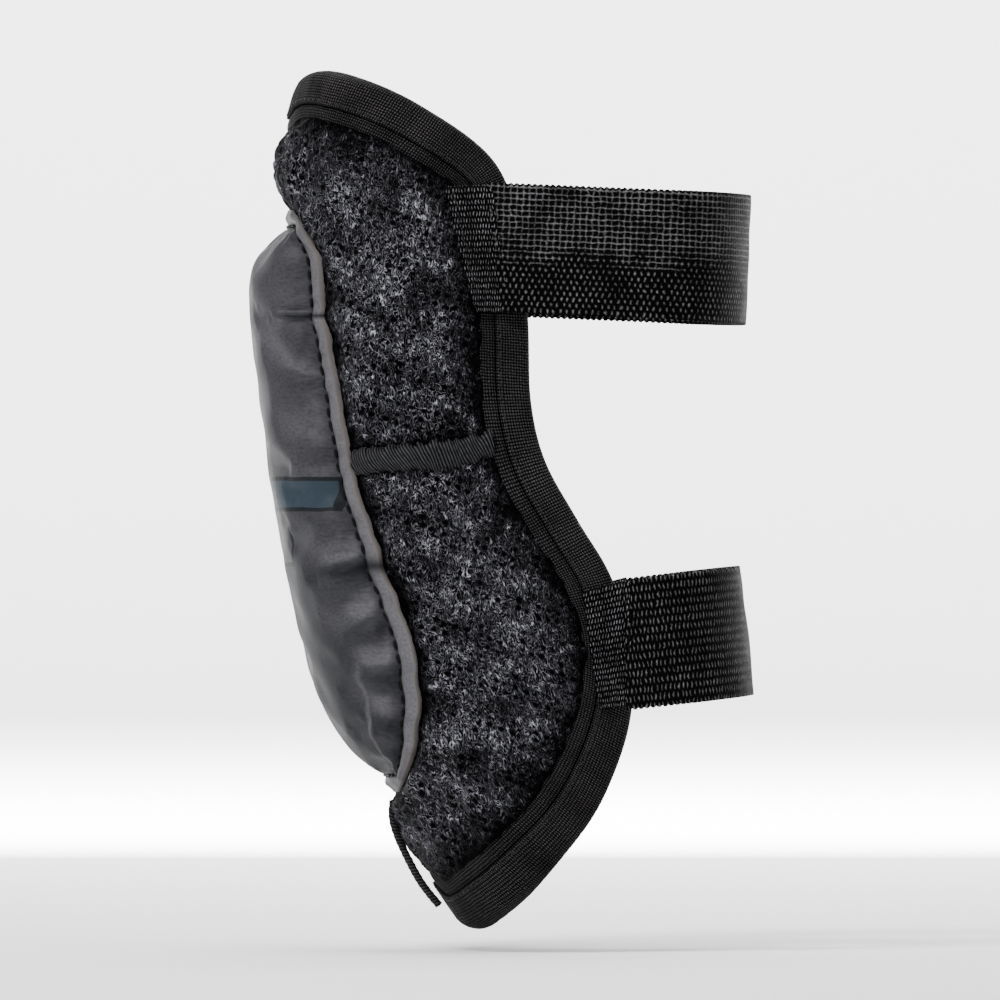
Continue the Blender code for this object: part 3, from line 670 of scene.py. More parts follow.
def weave_group():
    """Plain weave as rows of dots: |sin(x)| ** 1.5 * |sin(y)|, with uneven yarn.

    Returns:
        The node group; inputs Map, Warp Pitch, Weft Pitch, Slack, outputs Height and Yarn.
    """
    tree, nodes, start, end = new_group(
        "plain_weave",
        {
            "Map": ("Vector", 0),
            "Warp Pitch": ("Float", 1.0),
            "Weft Pitch": ("Float", 1.0),
            "Slack": ("Float", 0.2),
        },
        {"Height": "Float", "Yarn": "Float"},
    )
    wander = nodes.noise(start.outputs["Map"], 0.6)
    shift = nodes.math("MULTIPLY", nodes.math("SUBTRACT", wander, 0.5), start.outputs["Slack"])
    split = nodes.add("ShaderNodeSeparateXYZ", {0: start.outputs["Map"]})
    waves = []
    for axis, pitch in ((0, "Warp Pitch"), (1, "Weft Pitch")):
        turn = nodes.math("DIVIDE", nodes.math("ADD", split.outputs[axis], shift), start.outputs[pitch])
        waves.append(nodes.math("ABSOLUTE", nodes.math("SINE", nodes.math("MULTIPLY", turn, math.pi))))
    height = nodes.math("MULTIPLY", nodes.math("POWER", waves[0], 1.5), waves[1])
    tree.links.new(height, end.inputs["Height"])
    tree.links.new(nodes.noise(start.outputs["Map"], 2.2, 3.0), end.inputs["Yarn"])
    return tree


def drift_group():
    """Slow light and dark drift over cloth, from one broad noise.

    Returns:
        The node group; inputs Map and Patch Size, output Shade around 1.
    """
    tree, nodes, start, end = new_group(
        "shade_drift", {"Map": ("Vector", 0), "Patch Size": ("Float", 12.0)}, {"Shade": "Float"}
    )
    scale = nodes.math("DIVIDE", 1.0, start.outputs["Patch Size"])
    shade = nodes.math("MULTIPLY_ADD", nodes.noise(start.outputs["Map"], scale, 3.0), 1.3, 0.35)
    tree.links.new(shade, end.inputs["Shade"])
    return tree


@dataclass
class Workshop:
    """The shared node groups and the finishes made from them."""

    weave: object = None
    drift: object = None

    def __post_init__(self) -> None:
        """Builds the shared groups once."""
        self.weave = weave_group()
        self.drift = drift_group()

    def start(self, name: str):
        """New material with its helper, its surface map in millimetres and its shader."""
        material = bpy.data.materials.new(name)
        material.use_nodes = True
        tree = material.node_tree
        nodes = Nodes(tree)
        shader = tree.nodes["Principled BSDF"]
        surface = nodes.add("ShaderNodeUVMap", uv_map="surface")
        return material, nodes, surface.outputs[0], shader

    def shade(self, nodes: Nodes, surface, patch: float):
        """Slow drift of a finish's brightness around 1, in patches of a size in millimetres."""
        settings = {"Map": surface, "Patch Size": patch}
        return nodes.add("ShaderNodeGroup", settings, node_tree=self.drift).outputs["Shade"]

    def finish(self, nodes: Nodes, shader, colour, bump: tuple, rough: float, gloss: float) -> None:
        """Links a colour and a bump to the shader and sets its roughness and specular level.

        Args:
            nodes: helper of the material's tree.
            shader: the material's shader.
            colour: output that gives the base colour.
            bump: output that gives the height, then the bump's distance and strength.
            rough: roughness.
            gloss: specular level.
        """
        height, depth, strength = bump
        node = nodes.add("ShaderNodeBump", {"Height": height, "Distance": depth, "Strength": strength})
        nodes.tree.links.new(colour, shader.inputs["Base Color"])
        nodes.tree.links.new(node.outputs[0], shader.inputs["Normal"])
        shader.inputs["Roughness"].default_value = rough
        shader.inputs["Specular IOR Level"].default_value = gloss


@dataclass(frozen=True)
class KnitFinish:
    """Black looped knit over foam: crossing bright strands, glinting loops and rows of eyelets.

    Strands are contour lines of two noises stretched along opposite diagonals. Rows of eyelets and
    rows of glinting loops take turns down the wing.
    """

    dark: tuple = (0.0006, 0.0006, 0.0009)
    yarn: tuple = (0.065, 0.065, 0.075)
    bright: tuple = (0.34, 0.34, 0.38)
    row_pitch: float = 12.5
    row_slope: float = 0.4

    def strands(self, nodes: Nodes, surface, angle: float):
        """Thin curved strands leaning to an angle."""
        squash = {"Vector": surface, "Rotation": (0.0, 0.0, angle), "Scale": (1.0, 0.42, 1.0)}
        turned = nodes.add("ShaderNodeMapping", squash)
        settings = {"Vector": turned.outputs[0], "Scale": 0.95, "Detail": 0.9, "Distortion": 0.45}
        noise = nodes.add("ShaderNodeTexNoise", settings)
        wave = nodes.math("SINE", nodes.math("MULTIPLY", noise.outputs["Fac"], 19.0))
        return nodes.math("POWER", nodes.math("SUBTRACT", 1.0, nodes.math("ABSOLUTE", wave)), 1.1)

    def rows(self, nodes: Nodes, surface):
        """0 in the rows of eyelets and 1 in the rows of glinting loops."""
        split = nodes.add("ShaderNodeSeparateXYZ", {0: surface})
        reach = nodes.math("ABSOLUTE", split.outputs[0])
        level = nodes.math("MULTIPLY_ADD", reach, self.row_slope, split.outputs[1])
        level = nodes.math("MULTIPLY_ADD", nodes.noise(surface, 0.07), 14.0, level)
        wave = nodes.math("SINE", nodes.math("MULTIPLY", level, 2 * math.pi / self.row_pitch))
        return nodes.math("MULTIPLY_ADD", wave, 0.5, 0.5)

    def spots(self, nodes: Nodes, surface, scale: float, loose: float, inner: float, outer: float):
        """Soft round spots on a loose lattice, 1 in their middles."""
        settings = {"Vector": surface, "Scale": scale, "Randomness": loose}
        cells = nodes.add("ShaderNodeTexVoronoi", settings, feature="F1")
        limits = {"Value": cells.outputs["Distance"], "From Min": outer, "From Max": inner}
        return nodes.add("ShaderNodeMapRange", limits, interpolation_type="SMOOTHSTEP").outputs[0]

    def make(self, shop: Workshop):
        """The material."""
        material, nodes, surface, shader = shop.start("black_knit")
        crossing = [self.strands(nodes, surface, angle) for angle in (0.75, -0.85)]
        relief = nodes.math("MAXIMUM", crossing[0], nodes.math("MULTIPLY", crossing[1], 0.85))
        rows = self.rows(nodes, surface)
        turned = nodes.add("ShaderNodeMapping", {"Vector": surface, "Rotation": (0.0, 0.0, -0.38)})
        loops = self.spots(nodes, turned.outputs[0], 0.42, 0.6, 0.0, 0.6)
        eyelets = self.spots(nodes, turned.outputs[0], 0.4, 0.3, 0.12, 0.34)
        eyelets = nodes.math("MULTIPLY", eyelets, nodes.math("SUBTRACT", 1.0, rows))
        glint = nodes.math("MULTIPLY", loops, rows)
        lit = nodes.math("MULTIPLY", relief, shop.shade(nodes, surface, 9.0))
        # The seam mask paints shade where the knit dips at its seams, the cap and the flex line.
        changes = ((glint, 0.62, 0.8), (nodes.attribute("seam"), -0.6, 1.0), (eyelets, -0.95, 1.0))
        for mask, gain, rest in changes:
            lit = nodes.math("MULTIPLY", lit, nodes.math("MULTIPLY_ADD", mask, gain, rest))
        colour = nodes.ramp(lit, [(0.3, self.dark), (0.6, self.yarn), (0.95, self.bright)])
        height = nodes.math("SUBTRACT", relief, eyelets)
        shop.finish(nodes, shader, colour, (height, 0.45 * MM, 1.0), 0.55, 0.02)
        return material


@dataclass(frozen=True)
class TapeFinish:
    """Fine plain-woven tape."""

    name: str = "woven_tape"
    dark: tuple = (0.0012, 0.0012, 0.0013)
    light: tuple = (0.06, 0.057, 0.059)
    warp: float = 0.74
    weft: float = 0.7

    def make(self, shop: Workshop):
        """The material."""
        material, nodes, surface, shader = shop.start(self.name)
        settings = {"Map": surface, "Warp Pitch": self.warp, "Weft Pitch": self.weft, "Slack": 0.5}
        weave = nodes.add("ShaderNodeGroup", settings, node_tree=shop.weave)
        relief = weave.outputs["Height"]
        lit = nodes.math("MULTIPLY", relief, nodes.math("ADD", weave.outputs["Yarn"], 0.4))
        lit = nodes.math("MULTIPLY", lit, shop.shade(nodes, surface, 14.0))
        colour = nodes.ramp(lit, [(0.2, self.dark), (1.0, self.light)])
        shop.finish(nodes, shader, colour, (relief, 0.3 * MM, 1.0), 0.65, 0.02)
        return material


@dataclass(frozen=True)
class ElasticFinish:
    """Ribbed elastic: an open grid of light threads, or staggered rows of upright dashes."""

    name: str
    weave: Weave
    along: float = 1.6
    across: float = 1.45
    dark: tuple = (0.0006, 0.0006, 0.0007)
    light: tuple = (0.11, 0.11, 0.114)

    def grid(self, nodes: Nodes, run, level):
        """Threads both ways round dark cells: the higher of two narrow |sin| ridges.

        Below a ragged line the grid gives way to the staggered dashes.
        """
        ridges = []
        ways = ((run, self.along, 3.5, 0.62), (level, self.across, 6.0, 0.85))
        for place, pitch, sharp, weight in ways:
            wave = nodes.math("SINE", nodes.math("MULTIPLY", place, math.pi / pitch))
            ridge = nodes.math("POWER", nodes.math("ABSOLUTE", wave), sharp)
            ridges.append(nodes.math("MULTIPLY", ridge, weight))
        knots = nodes.math("MULTIPLY", ridges[0], ridges[1])
        threads = nodes.math("MULTIPLY_ADD", knots, 0.6, nodes.math("MAXIMUM", ridges[0], ridges[1]))
        place = nodes.add("ShaderNodeCombineXYZ", {0: run, 1: level}).outputs[0]
        ragged = nodes.math("MULTIPLY_ADD", nodes.noise(place, 0.2), 16.0, level)
        drawn = nodes.add("ShaderNodeMapRange", {"Value": ragged, "From Min": 2.0, "From Max": 9.0})
        dashes = nodes.math("MULTIPLY", self.bricks(nodes, run, level), 0.95)
        pair = {0: drawn.outputs[0], 2: dashes, 3: threads}
        return nodes.add("ShaderNodeMix", pair, data_type="FLOAT").outputs[0]

    def bricks(self, nodes: Nodes, run, level):
        """Upright dashes, each row shifted by half a pitch: |sin(run)| times |sin(row)|."""
        row = nodes.math("DIVIDE", level, self.across)
        parity = nodes.math("MODULO", nodes.math("ABSOLUTE", nodes.math("FLOOR", row)), 2.0)
        place = nodes.math("MULTIPLY_ADD", parity, Weave.BRICK.value, nodes.math("DIVIDE", run, self.along))
        rib = nodes.math("ABSOLUTE", nodes.math("SINE", nodes.math("MULTIPLY", place, math.pi)))
        dash = nodes.math("ABSOLUTE", nodes.math("SINE", nodes.math("MULTIPLY", row, math.pi)))
        return nodes.math("MULTIPLY", nodes.math("POWER", rib, 3.5), nodes.math("POWER", dash, 0.8))

    def make(self, shop: Workshop):
        """The material."""
        material, nodes, surface, shader = shop.start(self.name)
        slack = nodes.math("MULTIPLY", nodes.math("SUBTRACT", nodes.noise(surface, 0.45, 4.0), 0.5), 1.5)
        split = nodes.add("ShaderNodeSeparateXYZ", {0: surface})
        run = nodes.math("ADD", split.outputs[0], slack)
        level = nodes.math("ADD", split.outputs[1], nodes.math("MULTIPLY", slack, 0.6))
        pattern = self.grid if self.weave is Weave.GRID else self.bricks
        relief = pattern(nodes, run, level)
        lit = nodes.math("MULTIPLY", relief, nodes.math("MULTIPLY", nodes.noise(surface, 1.6, 3.0), 1.6))
        lit = nodes.math("MULTIPLY", lit, shop.shade(nodes, surface, 9.0))
        colour = nodes.ramp(lit, [(0.3, self.dark), (1.0, self.light)])
        shop.finish(nodes, shader, colour, (relief, 0.4 * MM, 1.0), 0.55, 0.02)
        return material


@dataclass(frozen=True)
class LeatherFinish:
    """Charcoal coated leather with a fine grain, painted highlight on its crests, painted shade towards its
    foot and in its folds, and a plain band.

    The band is a slate stripe and a shorter grey stripe below it, each with a dark border.
    """

    base: tuple = (0.029, 0.0285, 0.033)
    # Painted highlight on the fold crests and the welt, also the flange's lighter tone.
    flange_and_highlight_grey: tuple = (0.1, 0.098, 0.106)
    raw: tuple = (0.1, 0.09, 0.085)
    band: tuple = (0.024, 0.036, 0.048)
    pale: tuple = (0.05, 0.049, 0.053)
    # The print's dark borders, and painted shade towards the foot and in the folds.
    ink_and_shade: tuple = (0.006, 0.007, 0.009)

    def within(self, nodes: Nodes, value, middle: float, half: float):
        """1 where a value is within half of the middle."""
        away = nodes.math("ABSOLUTE", nodes.math("SUBTRACT", value, middle))
        return nodes.math("LESS_THAN", away, half)

    def printed(self, nodes: Nodes, surface, colour):
        """The leather's colour with the grey stripe and the slate stripe printed on it.

        Each bar is half its width, its middle height, half its height and its colour.
        """
        split = nodes.add("ShaderNodeSeparateXYZ", {0: surface})
        reach = nodes.math("ABSOLUTE", split.outputs[0])
        level = split.outputs[1]
        bars = ((19.0, -9.0, 7.5, self.ink_and_shade), (18.0, -9.0, 6.5, self.pale))
        bars += ((31.5, 1.5, 4.3, self.ink_and_shade), (30.4, 1.5, 3.3, self.band))
        for wide, middle, half, shade in bars:
            beside = self.within(nodes, reach, 0.0, wide)
            bar = nodes.math("MULTIPLY", beside, self.within(nodes, level, middle, half))
            colour = nodes.mix(nodes.math("MULTIPLY", bar, 0.9), colour, (*shade, 1.0))
        return colour

    def make(self, shop: Workshop):
        """The material."""
        material, nodes, surface, shader = shop.start("charcoal_leather")
        cells = {"Vector": surface, "Scale": 1.9}
        grain = nodes.add("ShaderNodeTexVoronoi", cells, feature="DISTANCE_TO_EDGE").outputs["Distance"]
        pores = nodes.noise(surface, 1.5, 3.0)
        # Random lighter patches, the painted highlight on crests and welt, and the lighter flange, broken
        # up by the pores.
        tone_and_highlight = nodes.math("MULTIPLY_ADD", shop.shade(nodes, surface, 14.0), 0.3, -0.16, clamp=True)
        tone_and_highlight = nodes.math("MULTIPLY_ADD", nodes.attribute("crest_highlight_and_flange"), 0.75, tone_and_highlight, clamp=True)
        tone_and_highlight = nodes.math("MULTIPLY", tone_and_highlight, nodes.math("MULTIPLY_ADD", pores, 1.2, 0.4), clamp=True)
        split = nodes.add("ShaderNodeSeparateXYZ", {0: surface})
        # Painted shade: darker towards the foot of the cap, where the leather faces away from the light;
        # the pores speckle it.
        high = nodes.math("MULTIPLY_ADD", split.outputs[1], 0.013, 0.8, clamp=True)
        speck = nodes.math("MULTIPLY_ADD", pores, 2.4, -0.6, clamp=True)
        high = nodes.math("MULTIPLY", high, nodes.math("MULTIPLY_ADD", speck, 0.7, 0.45), clamp=True)
        colour = nodes.mix(high, (*self.ink_and_shade, 1.0), (*self.base, 1.0))
        colour = nodes.mix(tone_and_highlight, colour, (*self.flange_and_highlight_grey, 1.0))
        colour = self.printed(nodes, surface, colour)
        # The rim is the raw edge's own pale colour; the fold mask paints shade into the deepest folds, the
        # slit and the seam line.
        for mask, share, shade in (("rim", 0.8, self.raw), ("fold", 0.9, self.ink_and_shade)):
            covered = nodes.math("MULTIPLY", nodes.attribute(mask), share)
            colour = nodes.mix(covered, colour, (*shade, 1.0))
        height = nodes.math("MULTIPLY_ADD", pores, 0.6, nodes.math("MINIMUM", grain, 0.2))
        shop.finish(nodes, shader, colour, (height, 0.11 * MM, 0.8), 0.5, 0.06)
        rough = nodes.math("MULTIPLY_ADD", pores, 0.25, 0.38)
        nodes.tree.links.new(rough, shader.inputs["Roughness"])
        return material


@dataclass(frozen=True)
class ThreadFinish:
    """Twisted sewing thread: fine slanting strands across the map's first axis."""

    name: str = "black_thread"
    dark: tuple = (0.0008, 0.0008, 0.001)
    light: tuple = (0.012, 0.012, 0.014)
    pitch: float = 0.35
    slant: float = 0.5
    rough: float = 0.5

    def make(self, shop: Workshop):
        """The material."""
        material, nodes, surface, shader = shop.start(self.name)
        split = nodes.add("ShaderNodeSeparateXYZ", {0: surface})
        turn = nodes.math("MULTIPLY_ADD", split.outputs[1], self.slant, split.outputs[0])
        wave = nodes.math("COSINE", nodes.math("MULTIPLY", turn, 2 * math.pi / self.pitch))
        strand = nodes.math("MULTIPLY_ADD", wave, 0.5, 0.5)
        fluff = nodes.math("MULTIPLY", nodes.noise(surface, 0.9, 4.0), 1.8)
        lit = nodes.math("MULTIPLY", nodes.math("POWER", strand, 1.5), fluff)
        colour = nodes.ramp(lit, [(0.15, self.dark), (1.0, self.light)])
        shop.finish(nodes, shader, colour, (strand, 0.12 * MM, 0.8), self.rough, 0.08)
        return material


# ---------------------------------------------------------------- sub-assemblies


def dress(piece, material) -> None:
    """Gives a piece its material."""
    piece.data.materials.clear()
    piece.data.materials.append(material)


@dataclass
class Flex:
    """Where the guard's cloth turns between its two halves."""

    start: tuple = (-0.03, 0.0, 0.022)
    end: tuple = (-0.03, 0.0, -0.001)

    def bend(self, piece) -> None:
        """Bakes a piece's placement into its mesh; the piece does not bend."""
        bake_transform(piece)


@dataclass
class PaddedBody:
    """Knit cover puffed by the foam, and the lining on the limb's side. Sizes in millimetres."""

    sheet: GuardSheet
    shop: Workshop
    flex: Flex
    inset: float = 1.6
    half_columns: int = 50
    half_rows: int = 57
    finer: int = 3
    lining_columns: int = 60
    lining_rows: int = 64
    back: float = 0.1

    def wrinkles(self) -> Array:
        """Moves of the knit when the padding fills it, on the fine grid."""
        flat = self.sheet.grid(self.inset, self.half_columns, self.half_rows)
        arc, height = flat[..., 0], flat[..., 1]
        points = self.sheet.place(arc, height, self.sheet.skin(arc, height))
        sewn = self.sheet.edge_distance(arc, height) < 11.5
        sewn |= self.sheet.outside_cap(arc, height) < 0.8
        sewn |= np.abs(height - self.sheet.flex_line(arc)) < 2.6
        return finer(ClothRun(pressure=5.0, growth=0.04, bending=0.5).moves(points, sewn), self.finer)

    def build(self) -> None:
        """Makes and dresses the cover, then the lining."""
        columns, rows = self.half_columns * self.finer, self.half_rows * self.finer
        flat = self.sheet.grid(self.inset, columns, rows)
        arc, height = flat[..., 0], flat[..., 1]
        top = self.sheet.place(arc, height, self.sheet.skin(arc, height))
        top = top + self.wrinkles()
        under = self.sheet.place(arc, height, self.back)
        # Painted shade: the seam mask darkens the knit beside the binding, round the cap and along the flex
        # line.
        near = 1.0 - rise(self.sheet.edge_distance(arc, height) - 12.0, 4.0)
        near = np.maximum(near, 1.0 - rise(self.sheet.outside_cap(arc, height) - 0.5, 2.6))
        near = np.maximum(near, 0.8 - rise(np.abs(height - self.sheet.flex_line(arc)) - 3.0, 2.6))
        masks = {"seam": np.tile(np.maximum(near, 0.0).ravel(), 2)}
        cover = new_piece("knit_cover", *closed_sheet(top, under, flat), masks=masks)
        dress(cover, KnitFinish().make(self.shop))
        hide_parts("outer_mesh", "upper_foam_pad", "lower_foam_pad")
        self.flex.bend(cover)
        self.build_lining()

    def build_lining(self) -> None:
        """Makes and dresses the lining."""
        flat = self.sheet.grid(self.inset, self.lining_columns, self.lining_rows)
        arc, height = flat[..., 0], flat[..., 1]
        low = self.sheet.place(arc, height, -self.inner(arc, height))
        high = self.sheet.place(arc, height, -self.back)
        lining = new_piece("limb_lining", *closed_sheet(high, low, flat))
        tape = TapeFinish("lining_cloth", light=(0.03, 0.03, 0.032), warp=0.9, weft=0.9)
        dress(lining, tape.make(self.shop))
        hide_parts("lining")
        self.flex.bend(lining)
        LOG.info("padded body: cover and lining")

    def inner(self, arc: Array, height: Array) -> Array:
        """Offset of the lining inwards: flat padding, pressed at the edge and the flex line."""
        edge = rise(self.sheet.edge_distance(arc, height) - 8.0, 6.0)
        flex = rise(np.abs(height - self.sheet.flex_line(arc)), 7.0)
        waves = 0.18 * ripple(arc, height, 12.0, 41)
        return 2.3 + (1.8 + waves) * edge * flex


@dataclass
class EdgeBinding:
    """Woven tape folded over the edge, a sewn groove, and a serged strip beside it. Millimetres."""

    sheet: GuardSheet
    shop: Workshop
    flex: Flex
    band: float = 8.3
    strip: float = 3.9
    count: int = 420
    stitch_pitch: float = 2.4
    stitch_inset: float = 1.1
    strip_foot: float = 2.6

    def top(self, distance: float) -> float:
        """Offset of the tape's outside face at a distance in from the edge."""
        return 3.3 + 0.2 * distance

    def profile(self) -> Array:
        """Section of the folded tape: (distance in, offset), outside leg first, round the nose."""
        outer = [(self.band, self.top(self.band) - 0.75), (self.band - 0.25, self.top(self.band) - 0.15)]
        outer += [(d, self.top(d) + 0.12 * math.sin(math.pi * d / self.band)) for d in (7.0, 5.0, 3.4, 2.3)]
        nose = [math.pi / 2 * share for share in (0.86, 0.66, 0.44, 0.22, 0.0)]
        bow = [(1.9 - 1.9 * math.cos(a), self.top(1.6) * math.sin(a)) for a in nose]
        half = outer + bow
        lower = [(d, -offset + 0.2) for d, offset in half[-2::-1]]
        inside = [(self.band, -self.top(self.band) + 1.6), (1.5, -2.3), (1.1, 0.0), (1.5, 2.3)]
        inside += [(self.band, self.top(self.band) - 1.4)]
        return np.array(half + lower + inside)

    def build(self) -> None:
        """Makes the tape, the strip and the stitches."""
        points, inward, along = self.sheet.loop(self.count)
        pucker = 0.1 * ripple(along, 0.0 * along, 5.0, 3)
        ring = self.ring(self.profile(), pucker, points, inward, along, outwards=False)
        tape = new_piece("edge_tape", *ring)
        dress(tape, TapeFinish().make(self.shop))
        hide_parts("edge_binding")
        self.flex.bend(tape)
        self.build_strip(points, inward, along)

    def ring(self, profile: Array, pucker, points: Array, inward: Array, along: Array, outwards: bool):
        """A section swept all round the outline; its faces far from the middle pucker."""
        sections = []
        for distance, offset in profile:
            flat = points + distance * inward
            lift = offset + np.sign(offset) * pucker * min(1.0, abs(offset) / 3.0)
            sections.append(self.sheet.place(flat[:, 0], flat[:, 1], lift))
        return closed_ring(np.stack(sections, axis=1), along, lengths_along(profile), outwards)

    def build_strip(self, points: Array, inward: Array, along: Array) -> None:
        """Serged strip along the tape's inner edge, and the sewing in the groove."""
        share = np.linspace(0.0, 1.0, 9)
        distance = self.band + 0.15 + share * self.strip
        crown = self.top(self.band) - 0.95 + 0.55 * np.sin(math.pi * share) ** 0.6 - 0.35 * share
        foot = [(distance[-1], self.strip_foot), (distance[0], self.strip_foot)]
        profile = np.vstack([np.column_stack([distance, crown]), foot])
        ring = self.ring(profile, 0.0, points, inward, along, outwards=True)
        strip = new_piece("serged_strip", *ring)
        finish = TapeFinish("strip_tape", light=(0.05, 0.05, 0.052))
        dress(strip, finish.make(self.shop))
        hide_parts("edge_binding")
        self.flex.bend(strip)
        self.build_stitches(points, inward, along)

    def build_stitches(self, points: Array, inward: Array, along: Array) -> None:
        """Row of stitches in the tape, just inside its inner edge."""
        place = self.band - self.stitch_inset
        flat = points + place * inward
        lift = self.top(place) + 0.1
        count, shape = self.sheet.stitches(
            np.vstack([flat, flat[:1]]),
            np.append(along, along[-1] + along[1]),
            self.stitch_pitch,
            lambda middle: lift,
            (0.17, 0.14),
        )
        row = new_piece("binding_stitches", *shape)
        finish = ThreadFinish("binding_thread", light=(0.045, 0.045, 0.048))
        dress(row, finish.make(self.shop))
        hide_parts("binding_stitching")
        self.flex.bend(row)
        LOG.info("edge binding: tape, strip and %d stitches", count)


@dataclass(frozen=True)
class Crease:
    """One fold of the leather, from the seam inwards. Millimetres."""

    height: float
    width: float
    depth: float
    length: float
    slope: float = 0.0


@dataclass
class LeatherCap:
    """Leather cover of the cap: sewn flange, drawn seam, swollen middle and its folds."""

    sheet: GuardSheet
    shop: Workshop
    flex: Flex
    rows: int = 100
    half_columns: int = 34
    finer: int = 3
    flange: float = 4.2
    leather: float = 1.0
    seat: float = 3.9
    swell: float = 3.6
    lift_foot: float = 7.7
    lift_head: float = 10.4
    stitch_pitch: float = 3.5
    creases: tuple = (
        Crease(66.5, 1.5, 0.8, 7.0, -0.5),
        Crease(59.0, 1.8, 0.5, 6.0, -0.3),
        Crease(46.2, 0.6, 2.6, 6.0, 0.0),
        Crease(30.0, 2.4, 0.4, 7.0, -0.2),
        Crease(13.0, 2.2, 0.4, 7.0, -0.2),
        Crease(-3.5, 1.6, 0.5, 7.0, -0.2),
        Crease(-10.5, 2.4, -0.9, 8.0, -0.5),
        Crease(-23.5, 2.4, -1.0, 7.5, -0.6),
        Crease(-16.6, 2.0, 2.0, 9.0, -0.35),
        Crease(-29.5, 1.7, 1.2, 7.0, -0.7),
        Crease(-36.0, 2.4, -0.9, 7.5, -0.5),
        Crease(-42.5, 1.7, 1.0, 6.0, -0.3),
        Crease(-51.5, 2.4, -0.9, 6.5, 0.1),
        Crease(-58.0, 1.6, 0.8, 5.0, 0.3),
    )
    slit: int = 2
    deepest: int = 8

    def flat_grid(self, factor: int) -> tuple[Array, Array]:
        """Flat points of the cap with rounded ends, and their distance in from its edge.

        Args:
            factor: how many times finer the grid is than the simulated one.

        Returns:
            The flat points and their distances.
        """
        low, high = self.sheet.cap_ends()
        count = self.rows * factor + 1
        share = 0.5 - 0.5 * np.cos(np.linspace(0.0, math.pi, count))
        share = 0.45 * share + 0.55 * np.linspace(0.0, 1.0, count)
        heights = low + (high - low) * share
        column = np.linspace(0.0, 1.0, self.half_columns * factor + 1)
        half = column + 0.18 * np.sin(math.pi * column) / math.pi * 2.0
        column = np.concatenate([-half[:0:-1], half]) / half[-1]
        reach = self.reach(heights)
        arc = reach[:, None] * column[None]
        height = np.repeat(heights[:, None], arc.shape[1], axis=1)
        ends = np.minimum(height - low, high - height)
        inside = np.minimum(reach[:, None] - np.abs(arc), ends)
        return np.stack([arc, height], axis=-1), inside

    def reach(self, height: Array) -> Array:
        """Arc length to the flange's edge, a little wavy, drawn in at both ends."""
        low, high = self.sheet.cap_ends()
        wave = 0.35 * ripple(height, 0.0 * height, 9.0, 8)
        for crease in self.creases:
            wave = wave - 0.16 * crease.depth * bell(height - crease.height, 1.6 * crease.width)
        ends = np.minimum(height - low, high - height)
        corner = 1.0 - 0.28 * np.exp(-np.maximum(ends, 0.0) / 2.2)
        return (self.sheet.cap_half(height) + wave) * corner

    def climb(self, height: Array, inside: Array) -> Array:
        """Height of the swell over the flange: steep from the seam, sloping off at both ends."""
        low, high = self.sheet.cap_ends()
        share = (height - low) / (high - low)
        lift = self.lift_foot + (self.lift_head - self.lift_foot) * share
        head = rise(high - height - self.flange, 6.5, 1.25)
        foot = rise(height - low - self.flange, 7.0, 1.2)
        return lift * rise(inside - self.flange, self.swell, 0.92) * head * foot

    def climb_share(self, height: Array, inside: Array) -> Array:
        """The climb as a share of the highest climb in its row of the grid."""
        climb = self.climb(height, inside)
        return climb / np.maximum(np.max(climb, axis=1, keepdims=True), 0.1)

    def offset(self, height: Array, inside: Array) -> Array:
        """Offset of the leather's face without its folds: flange, drawn seam, then the swell."""
        low, high = self.sheet.cap_ends()
        seat = self.seat - 1.0 * bell(np.minimum(high - height, height - low), 5.0)
        face = seat + self.leather + self.climb(height, inside)
        return face - 0.55 * bell(inside - self.flange, 0.7) + 0.3 * bell(inside - 1.8, 1.4)

    def relief(self, arc: Array, height: Array, inside: Array) -> Array:
        """Folds and puckers along the leather's own normal, in millimetres.

        Each fold is a trough across the side of the cap with a low ridge beside it. It starts at
        the seam and ends where the side has climbed by the fold's length.
        """
        climb = self.climb(height, inside)
        share = self.climb_share(height, inside)
        past = inside - self.flange
        body = rise(past, 0.8) * np.clip((0.9 - share) / 0.2, 0.0, 1.0)
        relief = 0.2 * ripple(arc, height, 16.0, 77) * rise(past, 2.0)
        for crease in self.creases:
            line = height - crease.height - crease.slope * climb
            hold = 1.0 / (1.0 + np.exp((climb - crease.length) / (0.16 * crease.length)))
            trough = bell(line, crease.width) - 0.4 * bell(line - 2.2 * crease.width, crease.width)
            relief = relief - crease.depth * trough * hold * body
        hollow = np.hypot(climb - 1.5, height - 40.0)
        relief = relief + (0.6 * bell(hollow - 7.5, 1.6) - 0.9 * bell(hollow - 1.0, 3.2)) * body
        pucker = 0.28 * ripple(height, 0.35 * arc, 3.6, 91) + 0.3 * ripple(height, 0.2 * arc, 9.0, 92)
        flange = bell(inside - 1.9, 1.5) * (inside < self.flange)
        beside = 0.2 * ripple(height, 0.8 * climb, 5.0, 93) * bell(climb - 2.0, 2.5) * body
        return relief + pucker * flange + beside

    def surface(self, flat: Array, inside: Array) -> Array:
        """World points of the leather's face, folds included."""
        arc, height = flat[..., 0], flat[..., 1]
        base = self.sheet.place(arc, height, self.offset(height, inside))
        normal = unit(np.cross(np.gradient(base, axis=1), np.gradient(base, axis=0)))
        return base + normal * self.relief(arc, height, inside)[..., None] * MM

    def masks(self, arc: Array, height: Array, inside: Array) -> dict[str, Array]:
        """Painted highlight on the crests and the welt with the lighter flange, the raw rim of the flange,
        and painted shade in the deepest folds.
        """
        relief = self.relief(arc, height, inside)
